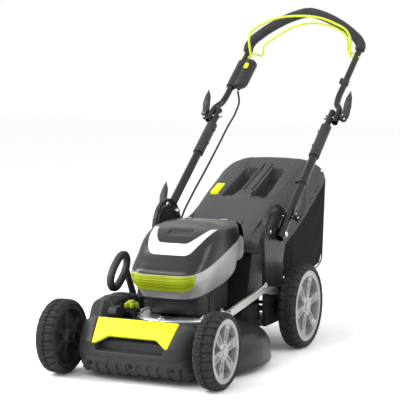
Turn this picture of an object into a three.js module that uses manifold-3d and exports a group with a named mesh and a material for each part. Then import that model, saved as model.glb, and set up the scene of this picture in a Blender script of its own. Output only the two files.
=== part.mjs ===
// Cordless self-propelled lawn mower with a rear grass box, in millimetres, +Z up.
// It is drawn with the front axle's centre line above the origin, -Y forwards and +X on the
// left of someone pushing it. The whole group is then moved so that the middle of its
// footprint is the origin.
import * as THREE from "three";
import { mergeVertices } from "three/addons/utils/BufferGeometryUtils.js";
import Module from "manifold-3d";

const wasm = await Module();
wasm.setup();

// ---------------------------------------------------------------- driving dimensions
const GAP = 0.35; // clearance between pieces that touch
const WHEELBASE = 609;
const FRONT_R = 103.4; // 8 inch wheel
const REAR_R = 127; // 10 inch wheel
const WHEEL_IN = 208; // inner face of every wheel, from the middle
const FRONT_WIDTH = 58;
const REAR_WIDTH = 56;
const WHEEL_SIDES = 24;
const AXLE_R = 6;
const CRANK = 45; // length of the axle cranks that set the cutting height
const CRANK_ANGLE = rad(145); // their direction at the lowest setting, from +Y towards +Z
const CRANK_X = 193; // middle of the crank arms
const DECK_Y = 255; // centre of the round cutting deck
const DECK_R = 264;
const DECK_TOP = 131.5;
const DECK_SIDES = 32;
const WALL = 4;
const MOTOR_Y = 262;
const BLADE_LENGTH = 456;
const TUBE_X = 201; // handle tubes, from the middle
const HANDLE_ANGLE = rad(38.46);
const FOLD = [533, 351]; // y, z of the handle's fold pivot
const LOWER_TUBE_R = 13;
const MID_TUBE_R = 10.2;
const UPPER_TUBE_R = 10.5;
const LOW_CAM = 75; // distances along the handle from the fold pivot
const SLEEVE = [342, 487];
const UPPER_CAM = 531;
const GRIP_START = 886;
const GRIP_SLOPE = rad(68.7);
const BAG_HALF = 180;
const LID_HINGE = [437, 398]; // y, z
const DOOR_HINGE = [478, 300];

function rad(degrees) {
  return (degrees * Math.PI) / 180;
}

// ---------------------------------------------------------------- colours and finishes
const FINISH = {
  tyre: [0x2b2b2c, 0.85, 0],
  black_plastic: [0x3a3a3b, 0.55, 0],
  gloss_plastic: [0x3b3b3d, 0.25, 0],
  steel_black: [0x2a2a2b, 0.3, 0.5],
  yellow: [0xf2f21e, 0.45, 0],
  lime: [0xc8d41c, 0.45, 0],
  silver: [0xb4b4b6, 0.4, 0.3],
  aluminium: [0xc4c6c8, 0.35, 0.9],
  steel: [0xb0aeaa, 0.4, 0.9],
  foam: [0x3c3c3d, 0.9, 0],
  fabric: [0x2c2c2d, 0.95, 0],
};

const mower = new THREE.Group();

function add(name, solid, finish) {
  const { vertProperties, triVerts, numProp } = solid.getMesh();
  const geometry = new THREE.BufferGeometry();
  const position = new Float32Array((vertProperties.length / numProp) * 3);
  for (let i = 0; i < position.length / 3; i++) {
    for (let k = 0; k < 3; k++) position[3 * i + k] = vertProperties[numProp * i + k];
  }
  geometry.setAttribute("position", new THREE.BufferAttribute(position, 3));
  geometry.setIndex(new THREE.BufferAttribute(new Uint32Array(triVerts), 1));
  geometry.computeVertexNormals();
  const [color, roughness, metalness] = FINISH[finish];
  const mesh = new THREE.Mesh(geometry, new THREE.MeshStandardMaterial({ color, roughness, metalness }));
  mesh.name = name;
  mower.add(mesh);
}

// ---------------------------------------------------------------- solids from geometry
function solid(geometry) {
  const bare = geometry.clone();
  bare.deleteAttribute("normal");
  bare.deleteAttribute("uv");
  const merged = mergeVertices(bare, 1e-3);
  const p = merged.attributes.position;
  const index = Array.from(merged.index.array);
  let volume = 0;
  const a = new THREE.Vector3();
  const b = new THREE.Vector3();
  const c = new THREE.Vector3();
  const kept = [];
  for (let i = 0; i < index.length; i += 3) {
    const [i0, i1, i2] = index.slice(i, i + 3);
    if (i0 === i1 || i1 === i2 || i0 === i2) continue;
    kept.push(i0, i1, i2);
    a.fromBufferAttribute(p, i0);
    b.fromBufferAttribute(p, i1);
    c.fromBufferAttribute(p, i2);
    volume += a.dot(b.cross(c));
  }
  if (volume < 0) {
    for (let i = 0; i < kept.length; i += 3) [kept[i], kept[i + 1]] = [kept[i + 1], kept[i]];
  }
  const vertProperties = new Float32Array(p.array);
  const triVerts = new Uint32Array(kept);
  return new wasm.Manifold(new wasm.Mesh({ numProp: 3, vertProperties, triVerts }));
}

function box(x, y, z) {
  const g = new THREE.BoxGeometry(x[1] - x[0], y[1] - y[0], z[1] - z[0]);
  g.translate((x[0] + x[1]) / 2, (y[0] + y[1]) / 2, (z[0] + z[1]) / 2);
  return solid(g);
}

// A round bar between two points. Its flats face along the axes when sides is a multiple of 4.
function bar(from, to, radius, sides = 12, endRadius = radius) {
  const p = new THREE.Vector3(...from);
  const q = new THREE.Vector3(...to);
  const g = new THREE.CylinderGeometry(endRadius, radius, p.distanceTo(q), sides);
  g.rotateY(Math.PI / sides);
  const turn = new THREE.Quaternion().setFromUnitVectors(
    new THREE.Vector3(0, 1, 0),
    q.clone().sub(p).normalize(),
  );
  g.applyQuaternion(turn);
  g.translate((p.x + q.x) / 2, (p.y + q.y) / 2, (p.z + q.z) / 2);
  return solid(g);
}

// A profile of [radius, height] points, closed on itself, turned about an upright axis.
function turnedZ(profile, sides, y = 0) {
  const closed = [...profile, profile[0]].map(([r, h]) => new THREE.Vector2(r, h));
  const g = new THREE.LatheGeometry(closed, sides);
  g.rotateX(Math.PI / 2);
  g.translate(0, y, 0);
  return solid(g);
}

// The same about an axle along X, with a flat facet at the bottom whose distance is the radius.
function turnedX(profile, sides, y, z) {
  const grow = 1 / Math.cos(Math.PI / sides);
  const closed = [...profile, profile[0]].map(([r, h]) => new THREE.Vector2(r * grow, h));
  const g = new THREE.LatheGeometry(closed, sides, Math.PI / sides);
  g.rotateZ(-Math.PI / 2);
  g.translate(0, y, z);
  return solid(g);
}

// An outline in the Y-Z plane, given thickness along X.
function plateX(outline, x0, x1, holes = []) {
  const shape = new THREE.Shape(outline.map(([y, z]) => new THREE.Vector2(y, z)));
  for (const hole of holes) shape.holes.push(new THREE.Path(hole.map(([y, z]) => new THREE.Vector2(y, z))));
  const g = new THREE.ExtrudeGeometry(shape, { depth: x1 - x0, bevelEnabled: false });
  const turn = new THREE.Matrix4().makeBasis(
    new THREE.Vector3(0, 1, 0),
    new THREE.Vector3(0, 0, 1),
    new THREE.Vector3(1, 0, 0),
  );
  g.applyMatrix4(turn);
  g.translate(x0, 0, 0);
  return solid(g);
}

// A bar, or a tube when it has a hole, carried along a curve through points.
function pipe(points, radius, sides, steps, hole = 0) {
  const through = points.map((p) => new THREE.Vector3(...p));
  const curve = new THREE.CatmullRomCurve3(through, false, "centripetal");
  const ring = (r) =>
    Array.from({ length: sides }, (_, i) => {
      const a = (2 * Math.PI * (i + 0.5)) / sides;
      return new THREE.Vector2(r * Math.cos(a), r * Math.sin(a));
    });
  const shape = new THREE.Shape(ring(radius));
  if (hole) shape.holes.push(new THREE.Path(ring(hole).reverse()));
  return solid(new THREE.ExtrudeGeometry(shape, { steps, extrudePath: curve, bevelEnabled: false }));
}

// A closed skin over rings that all have the same number of points.
function loft(rings) {
  const n = rings[0].length;
  const position = rings.flat(2);
  const index = [];
  for (let k = 0; k + 1 < rings.length; k++) {
    for (let i = 0; i < n; i++) {
      const j = (i + 1) % n;
      index.push(k * n + i, k * n + j, (k + 1) * n + j);
      index.push(k * n + i, (k + 1) * n + j, (k + 1) * n + i);
    }
  }
  for (const [k, flip] of [[0, true], [rings.length - 1, false]]) {
    const centre = position.length / 3;
    for (let axis = 0; axis < 3; axis++) {
      position.push(rings[k].reduce((sum, p) => sum + p[axis], 0) / n);
    }
    for (let i = 0; i < n; i++) {
      const j = (i + 1) % n;
      index.push(centre, k * n + (flip ? j : i), k * n + (flip ? i : j));
    }
  }
  const g = new THREE.BufferGeometry();
  g.setAttribute("position", new THREE.BufferAttribute(new Float32Array(position), 3));
  g.setIndex(index);
  return solid(g);
}

// A flat-sided oval: half width w, from y0 to y1, with corner exponent e.
function oval(w, y0, y1, z, count, e = 4.5) {
  return Array.from({ length: count }, (_, i) => {
    const a = (2 * Math.PI * (i + 0.5)) / count;
    const soft = (v) => Math.sign(v) * Math.abs(v) ** (2 / e);
    return [w * soft(Math.cos(a)), (y0 + y1) / 2 + ((y1 - y0) / 2) * soft(Math.sin(a)), z];
  });
}

const BIG = 2000;
// Everything above (or below) a plane that runs along X through two points of the Y-Z plane.
function side(p, q, above) {
  const slope = (q[1] - p[1]) / (q[0] - p[0]);
  const at = (y) => p[1] + slope * (y - p[0]);
  const far = above ? BIG : -BIG;
  return plateX([[-BIG, at(-BIG)], [BIG, at(BIG)], [BIG, far * 3], [-BIG, far * 3]], -BIG, BIG);
}

const along = (s, n = 0) => [
  FOLD[0] + s * Math.cos(HANDLE_ANGLE) - n * Math.sin(HANDLE_ANGLE),
  FOLD[1] + s * Math.sin(HANDLE_ANGLE) + n * Math.cos(HANDLE_ANGLE),
];
const onTube = (x, s, n = 0) => [x, ...along(s, n)];
const arc = (centre, radius, from, to, count) =>
  Array.from({ length: count + 1 }, (_, i) => {
    const a = from + ((to - from) * i) / count;
    return [centre[0] + radius * Math.cos(a), centre[1] + radius * Math.sin(a)];
  });

// ---------------------------------------------------------------- wheels
function wheel(name, sideSign, y, radius, width) {
  const z = radius;
  const rim = radius - (radius > 110 ? 20 : 17.4);
  const x0 = sideSign * WHEEL_IN;
  const x1 = sideSign * (WHEEL_IN + width);
  const at = (u) => x0 + (x1 - x0) * u;
  const tread = [
    [rim, at(0.05)],
    [rim + 6, at(0)],
    [radius - 8, at(0.03)],
    [radius, at(0.16)],
    [radius, at(0.84)],
    [radius - 8, at(0.97)],
    [rim + 6, at(1)],
    [rim, at(0.95)],
  ];
  add(`tyre_${name}`, turnedX(tread, WHEEL_SIDES, y, z), "tyre");
  const hubIn = x0 - sideSign * 2;
  const core = [
    [AXLE_R + GAP, hubIn],
    [AXLE_R + GAP, at(0.9)],
    [25, at(0.9)],
    [28, at(0.58)],
    [rim - 10, at(0.64)],
    [rim - GAP, at(0.95)],
    [rim - GAP, at(0.07)],
    [rim - 10, at(0.45)],
    [20, at(0.42)],
    [20, hubIn],
  ];
  add(`wheel_core_${name}`, turnedX(core, WHEEL_SIDES, y, z), "silver");
}
wheel("front_left", 1, 0, FRONT_R, FRONT_WIDTH);
wheel("front_right", -1, 0, FRONT_R, FRONT_WIDTH);
wheel("rear_left", 1, WHEELBASE, REAR_R, REAR_WIDTH);
wheel("rear_right", -1, WHEELBASE, REAR_R, REAR_WIDTH);

// ---------------------------------------------------------------- axle cranks and height link
const LINK_ARM = 60;
function crank(hubY, hubZ, tubeR) {
  const pivot = [hubY - CRANK * Math.cos(CRANK_ANGLE), hubZ - CRANK * Math.sin(CRANK_ANGLE)];
  const pin = [pivot[0] + 10.1, pivot[1] + Math.sqrt(LINK_ARM ** 2 - 10.1 ** 2)];
  let body = bar([-CRANK_X, ...pivot], [CRANK_X, ...pivot], tubeR, 12);
  for (const s of [-1, 1]) {
    const [x0, x1] = [s * (CRANK_X - 3), s * (CRANK_X + 3)].sort((m, n) => m - n);
    body = body.add(bar([x0, ...pivot], [x1, ...pivot], 15, 12));
    body = body.add(bar([x0, hubY, hubZ], [x1, hubY, hubZ], 13, 12));
    body = body.add(strut(pivot, [hubY, hubZ], 11, x0, x1));
    body = body.add(bar([s * CRANK_X, hubY, hubZ], [s * (WHEEL_IN + 46), hubY, hubZ], AXLE_R, 12));
  }
  body = body.add(strut(pivot, pin, 9, CRANK_X - 3, CRANK_X + 3));
  body = body.add(bar([CRANK_X - 3, ...pin], [CRANK_X + 3, ...pin], 9, 12));
  return { body, pivot, pin };
}
function strut(p, q, half, x0, x1) {
  const d = Math.hypot(q[0] - p[0], q[1] - p[1]);
  const n = [(-(q[1] - p[1]) / d) * half, ((q[0] - p[0]) / d) * half];
  const outline = [[p[0] + n[0], p[1] + n[1]], [p[0] - n[0], p[1] - n[1]], [q[0] - n[0], q[1] - n[1]]];
  return plateX([...outline, [q[0] + n[0], q[1] + n[1]]], x0, x1);
}
const front = crank(0, FRONT_R, 8);
const rear = crank(WHEELBASE, REAR_R, 9);
// The link turns on a pin that is part of the front crank; its rear eye has a loose hole.
const LINK_X = [CRANK_X + 5, CRANK_X + 10];
const frontPin = bar([CRANK_X, ...front.pin], [LINK_X[1] + 1, ...front.pin], 5, 12);
const rearPin = bar([CRANK_X, ...rear.pin], [LINK_X[1] + 1, ...rear.pin], 5, 12);
add("front_axle", front.body.add(frontPin), "steel");
add("rear_axle", rear.body.add(rearPin), "steel");

const linkRun = [front.pin, [118, 168], [402, 204], [470, 190], rear.pin];
let link = bar([LINK_X[0], ...front.pin], [LINK_X[1], ...front.pin], 12, 8);
link = link.add(bar([LINK_X[0], ...rear.pin], [LINK_X[1], ...rear.pin], 14, 12));
linkRun.slice(1).forEach((q, i) => {
  link = link.add(strut(linkRun[i], q, 11.5, LINK_X[0], LINK_X[1]));
  if (i < 3) link = link.add(bar([LINK_X[0], ...q], [LINK_X[1], ...q], 11.5, 8));
});
link = link.subtract(bar([CRANK_X, ...front.pin], [CRANK_X + 20, ...front.pin], 5 + GAP, 12));
link = link.subtract(bar([CRANK_X, ...rear.pin], [CRANK_X + 20, ...rear.pin], 7.5, 12));
add("height_link", link, "steel");

// The drive gearbox hangs on the rear axle, beside the discharge chute.
let gearbox = bar([134, WHEELBASE, REAR_R], [166, WHEELBASE, REAR_R], 30, 16);
gearbox = gearbox.add(bar([128, WHEELBASE - 20, REAR_R - 2], [160, WHEELBASE - 20, REAR_R - 2], 22, 12));
gearbox = gearbox.add(bar([60, WHEELBASE, REAR_R], [CRANK_X - 4, WHEELBASE, REAR_R], AXLE_R, 12));
gearbox = gearbox.subtract(bar([-BIG, ...rear.pivot], [BIG, ...rear.pivot], 9 + GAP + 1, 12));
add("drive_gearbox", gearbox, "black_plastic");

// ---------------------------------------------------------------- cutting deck
const DOME = [
  [266, 17],
  [266, 23],
  [262.5, 25],
  [262.5, 62],
  [252, 84],
  [228, 100],
  [190, 112],
  [134, DECK_TOP],
];
function dome(grow, z0 = 0) {
  const outer = DOME.map(([r, z]) => [r + grow, z + grow]);
  return turnedZ([[0.001, z0], [outer[0][0], z0], ...outer, [0.001, DECK_TOP + grow]], DECK_SIDES, DECK_Y);
}
const domeShell = turnedZ(
  [...DOME, [100, DECK_TOP], [100, DECK_TOP - WALL], [133, DECK_TOP - WALL], [188, 112 - WALL],
    [226, 96.5], [249, 81], [262.5 - WALL, 61], [262.5 - WALL, 17]],
  DECK_SIDES,
  DECK_Y,
);
const chuteOuter = [
  [400, 40],
  [470, 62],
  [510, 104],
  [622, 236],
  [622, 388],
  [545, 352],
  [492, 292],
  [468, 200],
  [430, 110],
  [400, 100],
];
const chuteInner = [
  [380, 30],
  [466, 60],
  [507, 107],
  [640, 264],
  [640, 390],
  [548, 347],
  [496, 289],
  [472, 200],
  [434, 104],
  [380, 90],
];
const CHUTE_HALF = 124;
let deck = domeShell.add(plateX(chuteOuter, -CHUTE_HALF, CHUTE_HALF));
deck = deck.subtract(plateX(chuteInner, -CHUTE_HALF + WALL, CHUTE_HALF - WALL));
const chamber = [[0.001, 0], [256, 0], [256, 60], [222, 94], [185, 105], [0.001, 106]];
deck = deck.subtract(turnedZ(chamber, DECK_SIDES, DECK_Y));
// Side rails that carry the handle brackets, the nose that carries the bumper, and the axle's
// front bearings.
for (const s of [-1, 1]) {
  const span = (m, n) => [s * m, s * n].sort((u, v) => u - v);
  const rail = box(span(120.5, 173.4), [425, 560], [88, 106]).subtract(dome(-WALL / 2));
  deck = deck.add(rail);
  deck = deck.add(box(span(122, 146), [12, 60], [52, 90]).subtract(dome(-WALL / 2)));
}
deck = deck.add(box([-174, 174], [4, 40], [52, 58]).subtract(dome(-WALL / 2)));
deck = deck.subtract(bar([-BIG, ...front.pivot], [BIG, ...front.pivot], 8 + GAP, 16));
// Post for the height lever.
const LEVER_PIVOT = [352, 150];
let post = box([-187, -175], [338, 366], [90, 164]).subtract(dome(-WALL / 2));
post = post.add(bar([-180, ...LEVER_PIVOT], [-203, ...LEVER_PIVOT], 6, 12));
deck = deck.add(post);
add("deck_shell", deck, "black_plastic");

// ---------------------------------------------------------------- front bumper and lifting grip
const BUMPER_HALF = 182;
const BUMPER_BACK = 22;
const BUMPER_LEVELS = [[15, -24], [38, -52], [75, -60], [106, -53], [150, -14], [163, 0]];
function bumperBlock(inset) {
  const count = 16;
  return loft(
    BUMPER_LEVELS.map(([z, y], k) => {
      const half = BUMPER_HALF - inset - (k === 5 ? 22 : 0);
      const ring = [];
      for (let i = 0; i <= count; i++) {
        const u = -1 + (2 * i) / count;
        const x = half * Math.sin((u * Math.PI) / 2);
        const bend = Math.abs(x / half) ** 7 * Math.min(58, BUMPER_BACK - y - 6);
        ring.push([x, y + inset + bend, z + (k === 5 ? -inset : 0) - (k === 0 && inset ? 10 : 0)]);
      }
      ring.push([half, BUMPER_BACK + (inset ? 10 : 0), ring[0][2]]);
      ring.push([-half, BUMPER_BACK + (inset ? 10 : 0), ring[0][2]]);
      return ring;
    }),
  );
}
// The grip is a sloping plate: low corners, a raised middle and a straight top edge.
const GRIP_LOW = [-50, 104];
const GRIP_TOP = [7, 164];
function gripPlate(grow, out, back) {
  const d = Math.hypot(GRIP_TOP[0] - GRIP_LOW[0], GRIP_TOP[1] - GRIP_LOW[1]);
  const t = [(GRIP_TOP[0] - GRIP_LOW[0]) / d, (GRIP_TOP[1] - GRIP_LOW[1]) / d];
  const n = [-t[1], t[0]];
  const half = [[124, d], [114, 0], [108, 0], [71, 26]];
  const outline = [...half, ...half.map(([x, s]) => [-x, s]).reverse()];
  const grown = outline.map(([x, s]) => [x + Math.sign(x) * grow, s + (s > 30 ? grow : -grow)]);
  const shape = new THREE.Shape(grown.map(([x, s]) => new THREE.Vector2(x, s)));
  const g = new THREE.ExtrudeGeometry(shape, { depth: out + back, bevelEnabled: false });
  g.translate(0, 0, -back);
  g.applyMatrix4(new THREE.Matrix4().makeBasis(
    new THREE.Vector3(1, 0, 0),
    new THREE.Vector3(0, t[0], t[1]),
    new THREE.Vector3(0, n[0], n[1]),
  ));
  g.translate(0, GRIP_LOW[0], GRIP_LOW[1]);
  return solid(g);
}
let bumper = bumperBlock(0).subtract(bumperBlock(5));
const handSlot = [[-80, 84], [-80, 122], [-30, 128], [-12, 118], [-24, 90]];
const slotWall = [[-80, 79], [-80, 120], [-30, 133], [-7, 118], [-20, 86]];
bumper = bumper.add(plateX(slotWall, -112, 112).intersect(bumperBlock(0)));
bumper = bumper.subtract(plateX(handSlot, -107, 107));
bumper = bumper.subtract(gripPlate(GAP, 60, 5));
// Ten scallops along the bottom edge leave a comb of teeth.
for (let i = -5; i < 5; i++) {
  const x = 31 * (i + 0.5);
  bumper = bumper.subtract(bar([x, -70, 14], [x, 10, 14], 10, 12));
}
bumper = largest(bumper);
add("bumper", bumper, "black_plastic");
add("front_grip", gripPlate(0, 3, 4.5), "yellow");

function largest(body) {
  return body.decompose().sort((p, q) => q.volume() - p.volume())[0];
}

// ---------------------------------------------------------------- motor and blade
let flange = turnedZ([[66, 132], [126, 132], [130, 136], [130, 142], [122, 146], [66, 146]], 24, MOTOR_Y);
for (let i = 0; i < 6; i++) {
  const a = (Math.PI * (i + 0.5)) / 3;
  const centre = [118 * Math.cos(a), MOTOR_Y + 118 * Math.sin(a)];
  flange = flange.add(bar([...centre, 133], [...centre, 148], 10, 8));
}
add("motor_flange", flange, "aluminium");
const motorCase = [[12, 147], [42, 147], [42, 215], [38, 222], [12, 222]];
add("motor_case", turnedZ(motorCase, 24, MOTOR_Y), "steel_black");
add("motor_shaft", bar([0, MOTOR_Y, 50], [0, MOTOR_Y, 205], 9, 16), "steel");
const adapter = [[9 + GAP, 52], [30, 52], [30, 62], [18, 70], [9 + GAP, 70]];
add("blade_adapter", turnedZ(adapter, 24, MOTOR_Y), "aluminium");
let blade = box([-BLADE_LENGTH / 2, BLADE_LENGTH / 2], [MOTOR_Y - 27, MOTOR_Y + 27], [44, 48]);
for (const s of [-1, 1]) {
  const lift = plateX([[0, 46], [18, 62], [18, 66], [0, 48.5]], 150, BLADE_LENGTH / 2);
  const tip = lift.translate([0, 9, 0]);
  blade = blade.add((s > 0 ? tip : tip.rotate([0, 0, 180])).translate([0, MOTOR_Y, 0]));
}
blade = blade.subtract(bar([0, MOTOR_Y, 30], [0, MOTOR_Y, 60], 5 + GAP, 12));
add("blade", blade, "steel");
add("blade_bolt", bar([0, MOTOR_Y, 30], [0, MOTOR_Y, 43.6], 13, 6)
  .add(bar([0, MOTOR_Y, 40], [0, MOTOR_Y, 49.6], 5, 12)), "steel");

// ---------------------------------------------------------------- motor housing and battery bay
const HOOD = [
  [190, 168, 440, 96],
  [224, 151, 448, 108],
  [255, 135, 454, 117],
  [275, 139, 457, 120],
  [317, 187, 460, 121],
  [350, 215, 460, 120],
  [378, 268, 458, 115],
  [392, 345, 452, 102],
];
function hood(grow) {
  return loft(HOOD.map(([z, y0, y1, w], k) => {
    const lift = k === HOOD.length - 1 ? grow : k === 0 ? -grow : 0;
    return oval(w + grow, y0 - grow, y1 + grow, z + lift, 24);
  }));
}
const SEAM = [[140, 271], [450, 358]];
const SKIRT = [[160, 200], [340, 226]];
const SKIRT_REAR = [[340, 226], [440, 262]];
const shifted = (line, dz) => line.map(([y, z]) => [y, z + dz]);
const hoodShell = hood(0).subtract(hood(-WALL).add(box([-90, 90], [220, 400], [150, 260])));
const aboveSkirt = side(...SKIRT, true).intersect(side(...SKIRT_REAR, true));
const belowSeam = hoodShell.intersect(side(...shifted(SEAM, -GAP / 2), false));
add("housing_cover", largest(belowSeam.intersect(aboveSkirt)), "silver");
const lidCut = box([-BIG, BIG], [-BIG, LID_HINGE[0]], [-BIG, BIG]);
const aboveSeam = hoodShell.intersect(side(...shifted(SEAM, GAP / 2), true));
add("battery_lid", largest(aboveSeam.intersect(lidCut)), "gloss_plastic");
const bandCut = box([-BIG, BIG], [LID_HINGE[0] + GAP * 2, BIG], [-BIG, BIG]);
add("hinge_band", largest(aboveSeam.intersect(bandCut)), "silver");
const ventArea = box([-101, 101], [100, 178], [224, 268]).intersect(side([100, 259], [178, 272], false));
add("vent_grille", largest(hood(3).subtract(hood(GAP)).intersect(ventArea)), "lime");

const BASE = [[146.6, 214, 420, 90], [200, 200, 430, 91], [262, 200, 436, 92]];
const baseLoft = (grow) => loft(BASE.map(([z, y0, y1, w], k) => {
  const dz = grow < 0 ? [-10, 0, 10][k] : 0;
  return oval(w + grow, y0 - grow, y1 + grow, z + dz, 24, 5);
}));
const underSkirt = (line) => side(...shifted(line, -GAP - 0.1), false);
const rearPart = box([-BIG, BIG], [340, BIG], [-BIG, BIG]);
const belowSkirt = underSkirt(SKIRT).add(underSkirt(SKIRT_REAR).intersect(rearPart));
add("housing_base", largest(baseLoft(0).subtract(baseLoft(-WALL)).intersect(belowSkirt)), "black_plastic");
for (const [name, x] of [["battery_left", 45], ["battery_right", -45]]) {
  add(name, box([x - 35, x + 35], [262, 388], [238, 330]), "gloss_plastic");
}

// ---------------------------------------------------------------- handle brackets
const FOLD_RANGE = rad(126);
function bracket(s) {
  const top = arc(FOLD, 90, rad(-4), rad(184), 14);
  const foot = [[452, 250], [456, 84], [668, 84], [668, 122], [596, 176], [590, 270]];
  const slot = [
    ...arc(FOLD, LOW_CAM + 5, HANDLE_ANGLE - 0.08, HANDLE_ANGLE + FOLD_RANGE + 0.1, 12),
    ...arc(FOLD, LOW_CAM - 5, HANDLE_ANGLE + FOLD_RANGE + 0.1, HANDLE_ANGLE - 0.08, 12),
  ];
  const [x0, x1] = [s * 174, s * 185].sort((m, n) => m - n);
  let body = plateX([...top, ...foot], x0, x1, [slot]);
  body = body.add(bar([s * 180, ...FOLD], [s * 219, ...FOLD], 5, 12));
  // The drive shaft swings with the crank, so the plate has a curved slot for it.
  const from = CRANK_ANGLE - rad(11);
  const to = CRANK_ANGLE + rad(92);
  const slotArc = (radius, a, b) => arc(rear.pivot, radius, a, b, 6);
  const shaftSlot = [...slotArc(CRANK + 9, from, to), ...slotArc(CRANK - 9, to, from)];
  body = body.subtract(plateX(shaftSlot, -BIG, BIG));
  return body.subtract(bar([-BIG, ...rear.pivot], [BIG, ...rear.pivot], 9 + GAP, 12));
}
add("bracket_left", bracket(1), "black_plastic");
add("bracket_right", bracket(-1), "black_plastic");

// ---------------------------------------------------------------- handle tubes
function tube(s, from, to, radius, inner) {
  let body = bar(onTube(s * TUBE_X, from), onTube(s * TUBE_X, to), radius, 12);
  if (inner) body = body.subtract(bar(onTube(s * TUBE_X, from - 5), onTube(s * TUBE_X, to + 5), inner, 12));
  return body;
}
const across = (s, at, x0, x1, r, sides = 12) => bar(onTube(s * x0, at), onTube(s * x1, at), r, sides);
const CAM_X = { low: 229, high: 246 };
// The bolt carries a nut inside, and outside an eye whose pin the cam lever turns on.
function camBolt(s, at, inner, camX) {
  const pinEnd = 15;
  let body = across(s, at, inner, camX, 4, 8);
  body = body.add(across(s, at, inner - 6, inner, 8, 6));
  return body.add(bar(onTube(s * camX, at, -pinEnd), onTube(s * camX, at, pinEnd), 3, 8));
}
for (const [name, s] of [["left", 1], ["right", -1]]) {
  let lower = tube(s, -18, 470, LOWER_TUBE_R, MID_TUBE_R + 0.6);
  lower = lower.subtract(bar([s * 170, ...FOLD], [s * 230, ...FOLD], 5 + GAP, 12));
  lower = lower.subtract(across(s, LOW_CAM, 170, 230, 4 + GAP));
  add(`lower_tube_${name}`, lower, "steel_black");
  let sleeve = tube(s, SLEEVE[0], SLEEVE[1], 17, LOWER_TUBE_R + GAP);
  for (const at of [SLEEVE[0] + 52, SLEEVE[1] - 26]) {
    sleeve = sleeve.add(across(s, at, TUBE_X - 20, TUBE_X - 14, 6));
  }
  add(`tube_sleeve_${name}`, sleeve, "black_plastic");
  let mid = tube(s, 260, 562, MID_TUBE_R, 0);
  mid = mid.subtract(across(s, UPPER_CAM, 170, 230, 4 + GAP));
  add(`mid_tube_${name}`, mid, "steel_black");
  add(`lower_cam_bolt_${name}`, camBolt(s, LOW_CAM, 172, CAM_X.low), "steel");
  add(`upper_cam_bolt_${name}`, camBolt(s, UPPER_CAM, 188, CAM_X.high), "steel");
}

// Upper handle: one bent tube, kinked outwards over the fold bolts and bent up at the grip.
const inGrip = (x, s) => [
  x,
  along(GRIP_START)[0] + s * Math.cos(GRIP_SLOPE),
  along(GRIP_START)[1] + s * Math.sin(GRIP_SLOPE),
];
const UPPER_X = 223.4;
const legs = (s) => [
  onTube(s * UPPER_X, 506),
  onTube(s * UPPER_X, 530),
  onTube(s * UPPER_X, 556),
  onTube(s * (UPPER_X - 1.5), 568),
  onTube(s * 205, 600),
  onTube(s * 203, 612),
  onTube(s * 202, 700),
  onTube(s * 203, 800),
  onTube(s * 204, 876),
  inGrip(s * 206, 12),
  inGrip(s * 196, 32),
  inGrip(s * 172, 55),
  inGrip(s * 117, 94),
  inGrip(s * 47, 127),
];
const upperRun = [...legs(-1), inGrip(0, 138), ...legs(1).reverse()];
const UPPER_STEPS = 64;
let upper = pipe(upperRun, UPPER_TUBE_R, 8, UPPER_STEPS);
for (const s of [-1, 1]) upper = upper.subtract(across(s, UPPER_CAM, 200, 240, 4 + GAP));
const upperBore = pipe(upperRun, UPPER_TUBE_R + GAP, 8, UPPER_STEPS);
const gripRun = upperRun.slice(8, -8);
const foam = pipe(gripRun, 17, 10, 24).subtract(upperBore);

// ---------------------------------------------------------------- bails
const OUTER_PIVOT = along(842);
const OUTER_SLOPE = rad(99);
const INNER_PIVOT = along(865);
const INNER_SLOPE = rad(96);
const inBail = (pivot, slope) => ([x, s]) => [
  x,
  pivot[0] + s * Math.cos(slope),
  pivot[1] + s * Math.sin(slope),
];
const WIRE_R = 4;
// The outer bail is the same left and right; the inner one starts at the switch box.
const outerHalf = [
  [217, 0],
  [190, 0],
  [184, 5],
  [184, 30],
  [184, 70],
  [174, 90],
  [130, 117],
  [90, 133],
  [45, 141],
];
const outerShape = [...outerHalf.map(([x, s]) => [-x, s]), [0, 143], ...outerHalf.reverse()];
const innerShape = [
  [-150, -8],
  [-144, 0],
  [-141, 22],
  [-129, 35],
  [-97, 55],
  [-51, 80],
  [-6, 97],
  [39, 103],
  [74, 101],
  [104, 94],
  [142, 77],
  [158, 66],
  [166, 52],
  [169, 28],
  [170, 8],
  [176, 1],
  [190, 0],
  [203, 0],
];
const outerBail = pipe(outerShape.map(inBail(OUTER_PIVOT, OUTER_SLOPE)), WIRE_R, 8, 52);
let innerBail = pipe(innerShape.map(inBail(INNER_PIVOT, INNER_SLOPE)), WIRE_R - 0.5, 8, 40);
const jog = inBail(INNER_PIVOT, INNER_SLOPE)([-150, -8]);
innerBail = innerBail.add(bar(jog, [-186, ...INNER_PIVOT], 3.5, 8));
innerBail = innerBail.add(bar([-184, ...INNER_PIVOT], [-203, ...INNER_PIVOT], 3.5, 8));
add("outer_bail", outerBail, "lime");
add("inner_bail", innerBail, "lime");
for (const s of [-1, 1]) {
  upper = upper.subtract(bar([s * 180, ...OUTER_PIVOT], [s * 240, ...OUTER_PIVOT], WIRE_R + 1.6, 8));
  upper = upper.subtract(bar([s * 180, ...INNER_PIVOT], [s * 206, ...INNER_PIVOT], WIRE_R + 0.8, 8));
}
add("upper_handle", upper, "steel_black");
add("foam_grip", foam, "foam");

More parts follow.
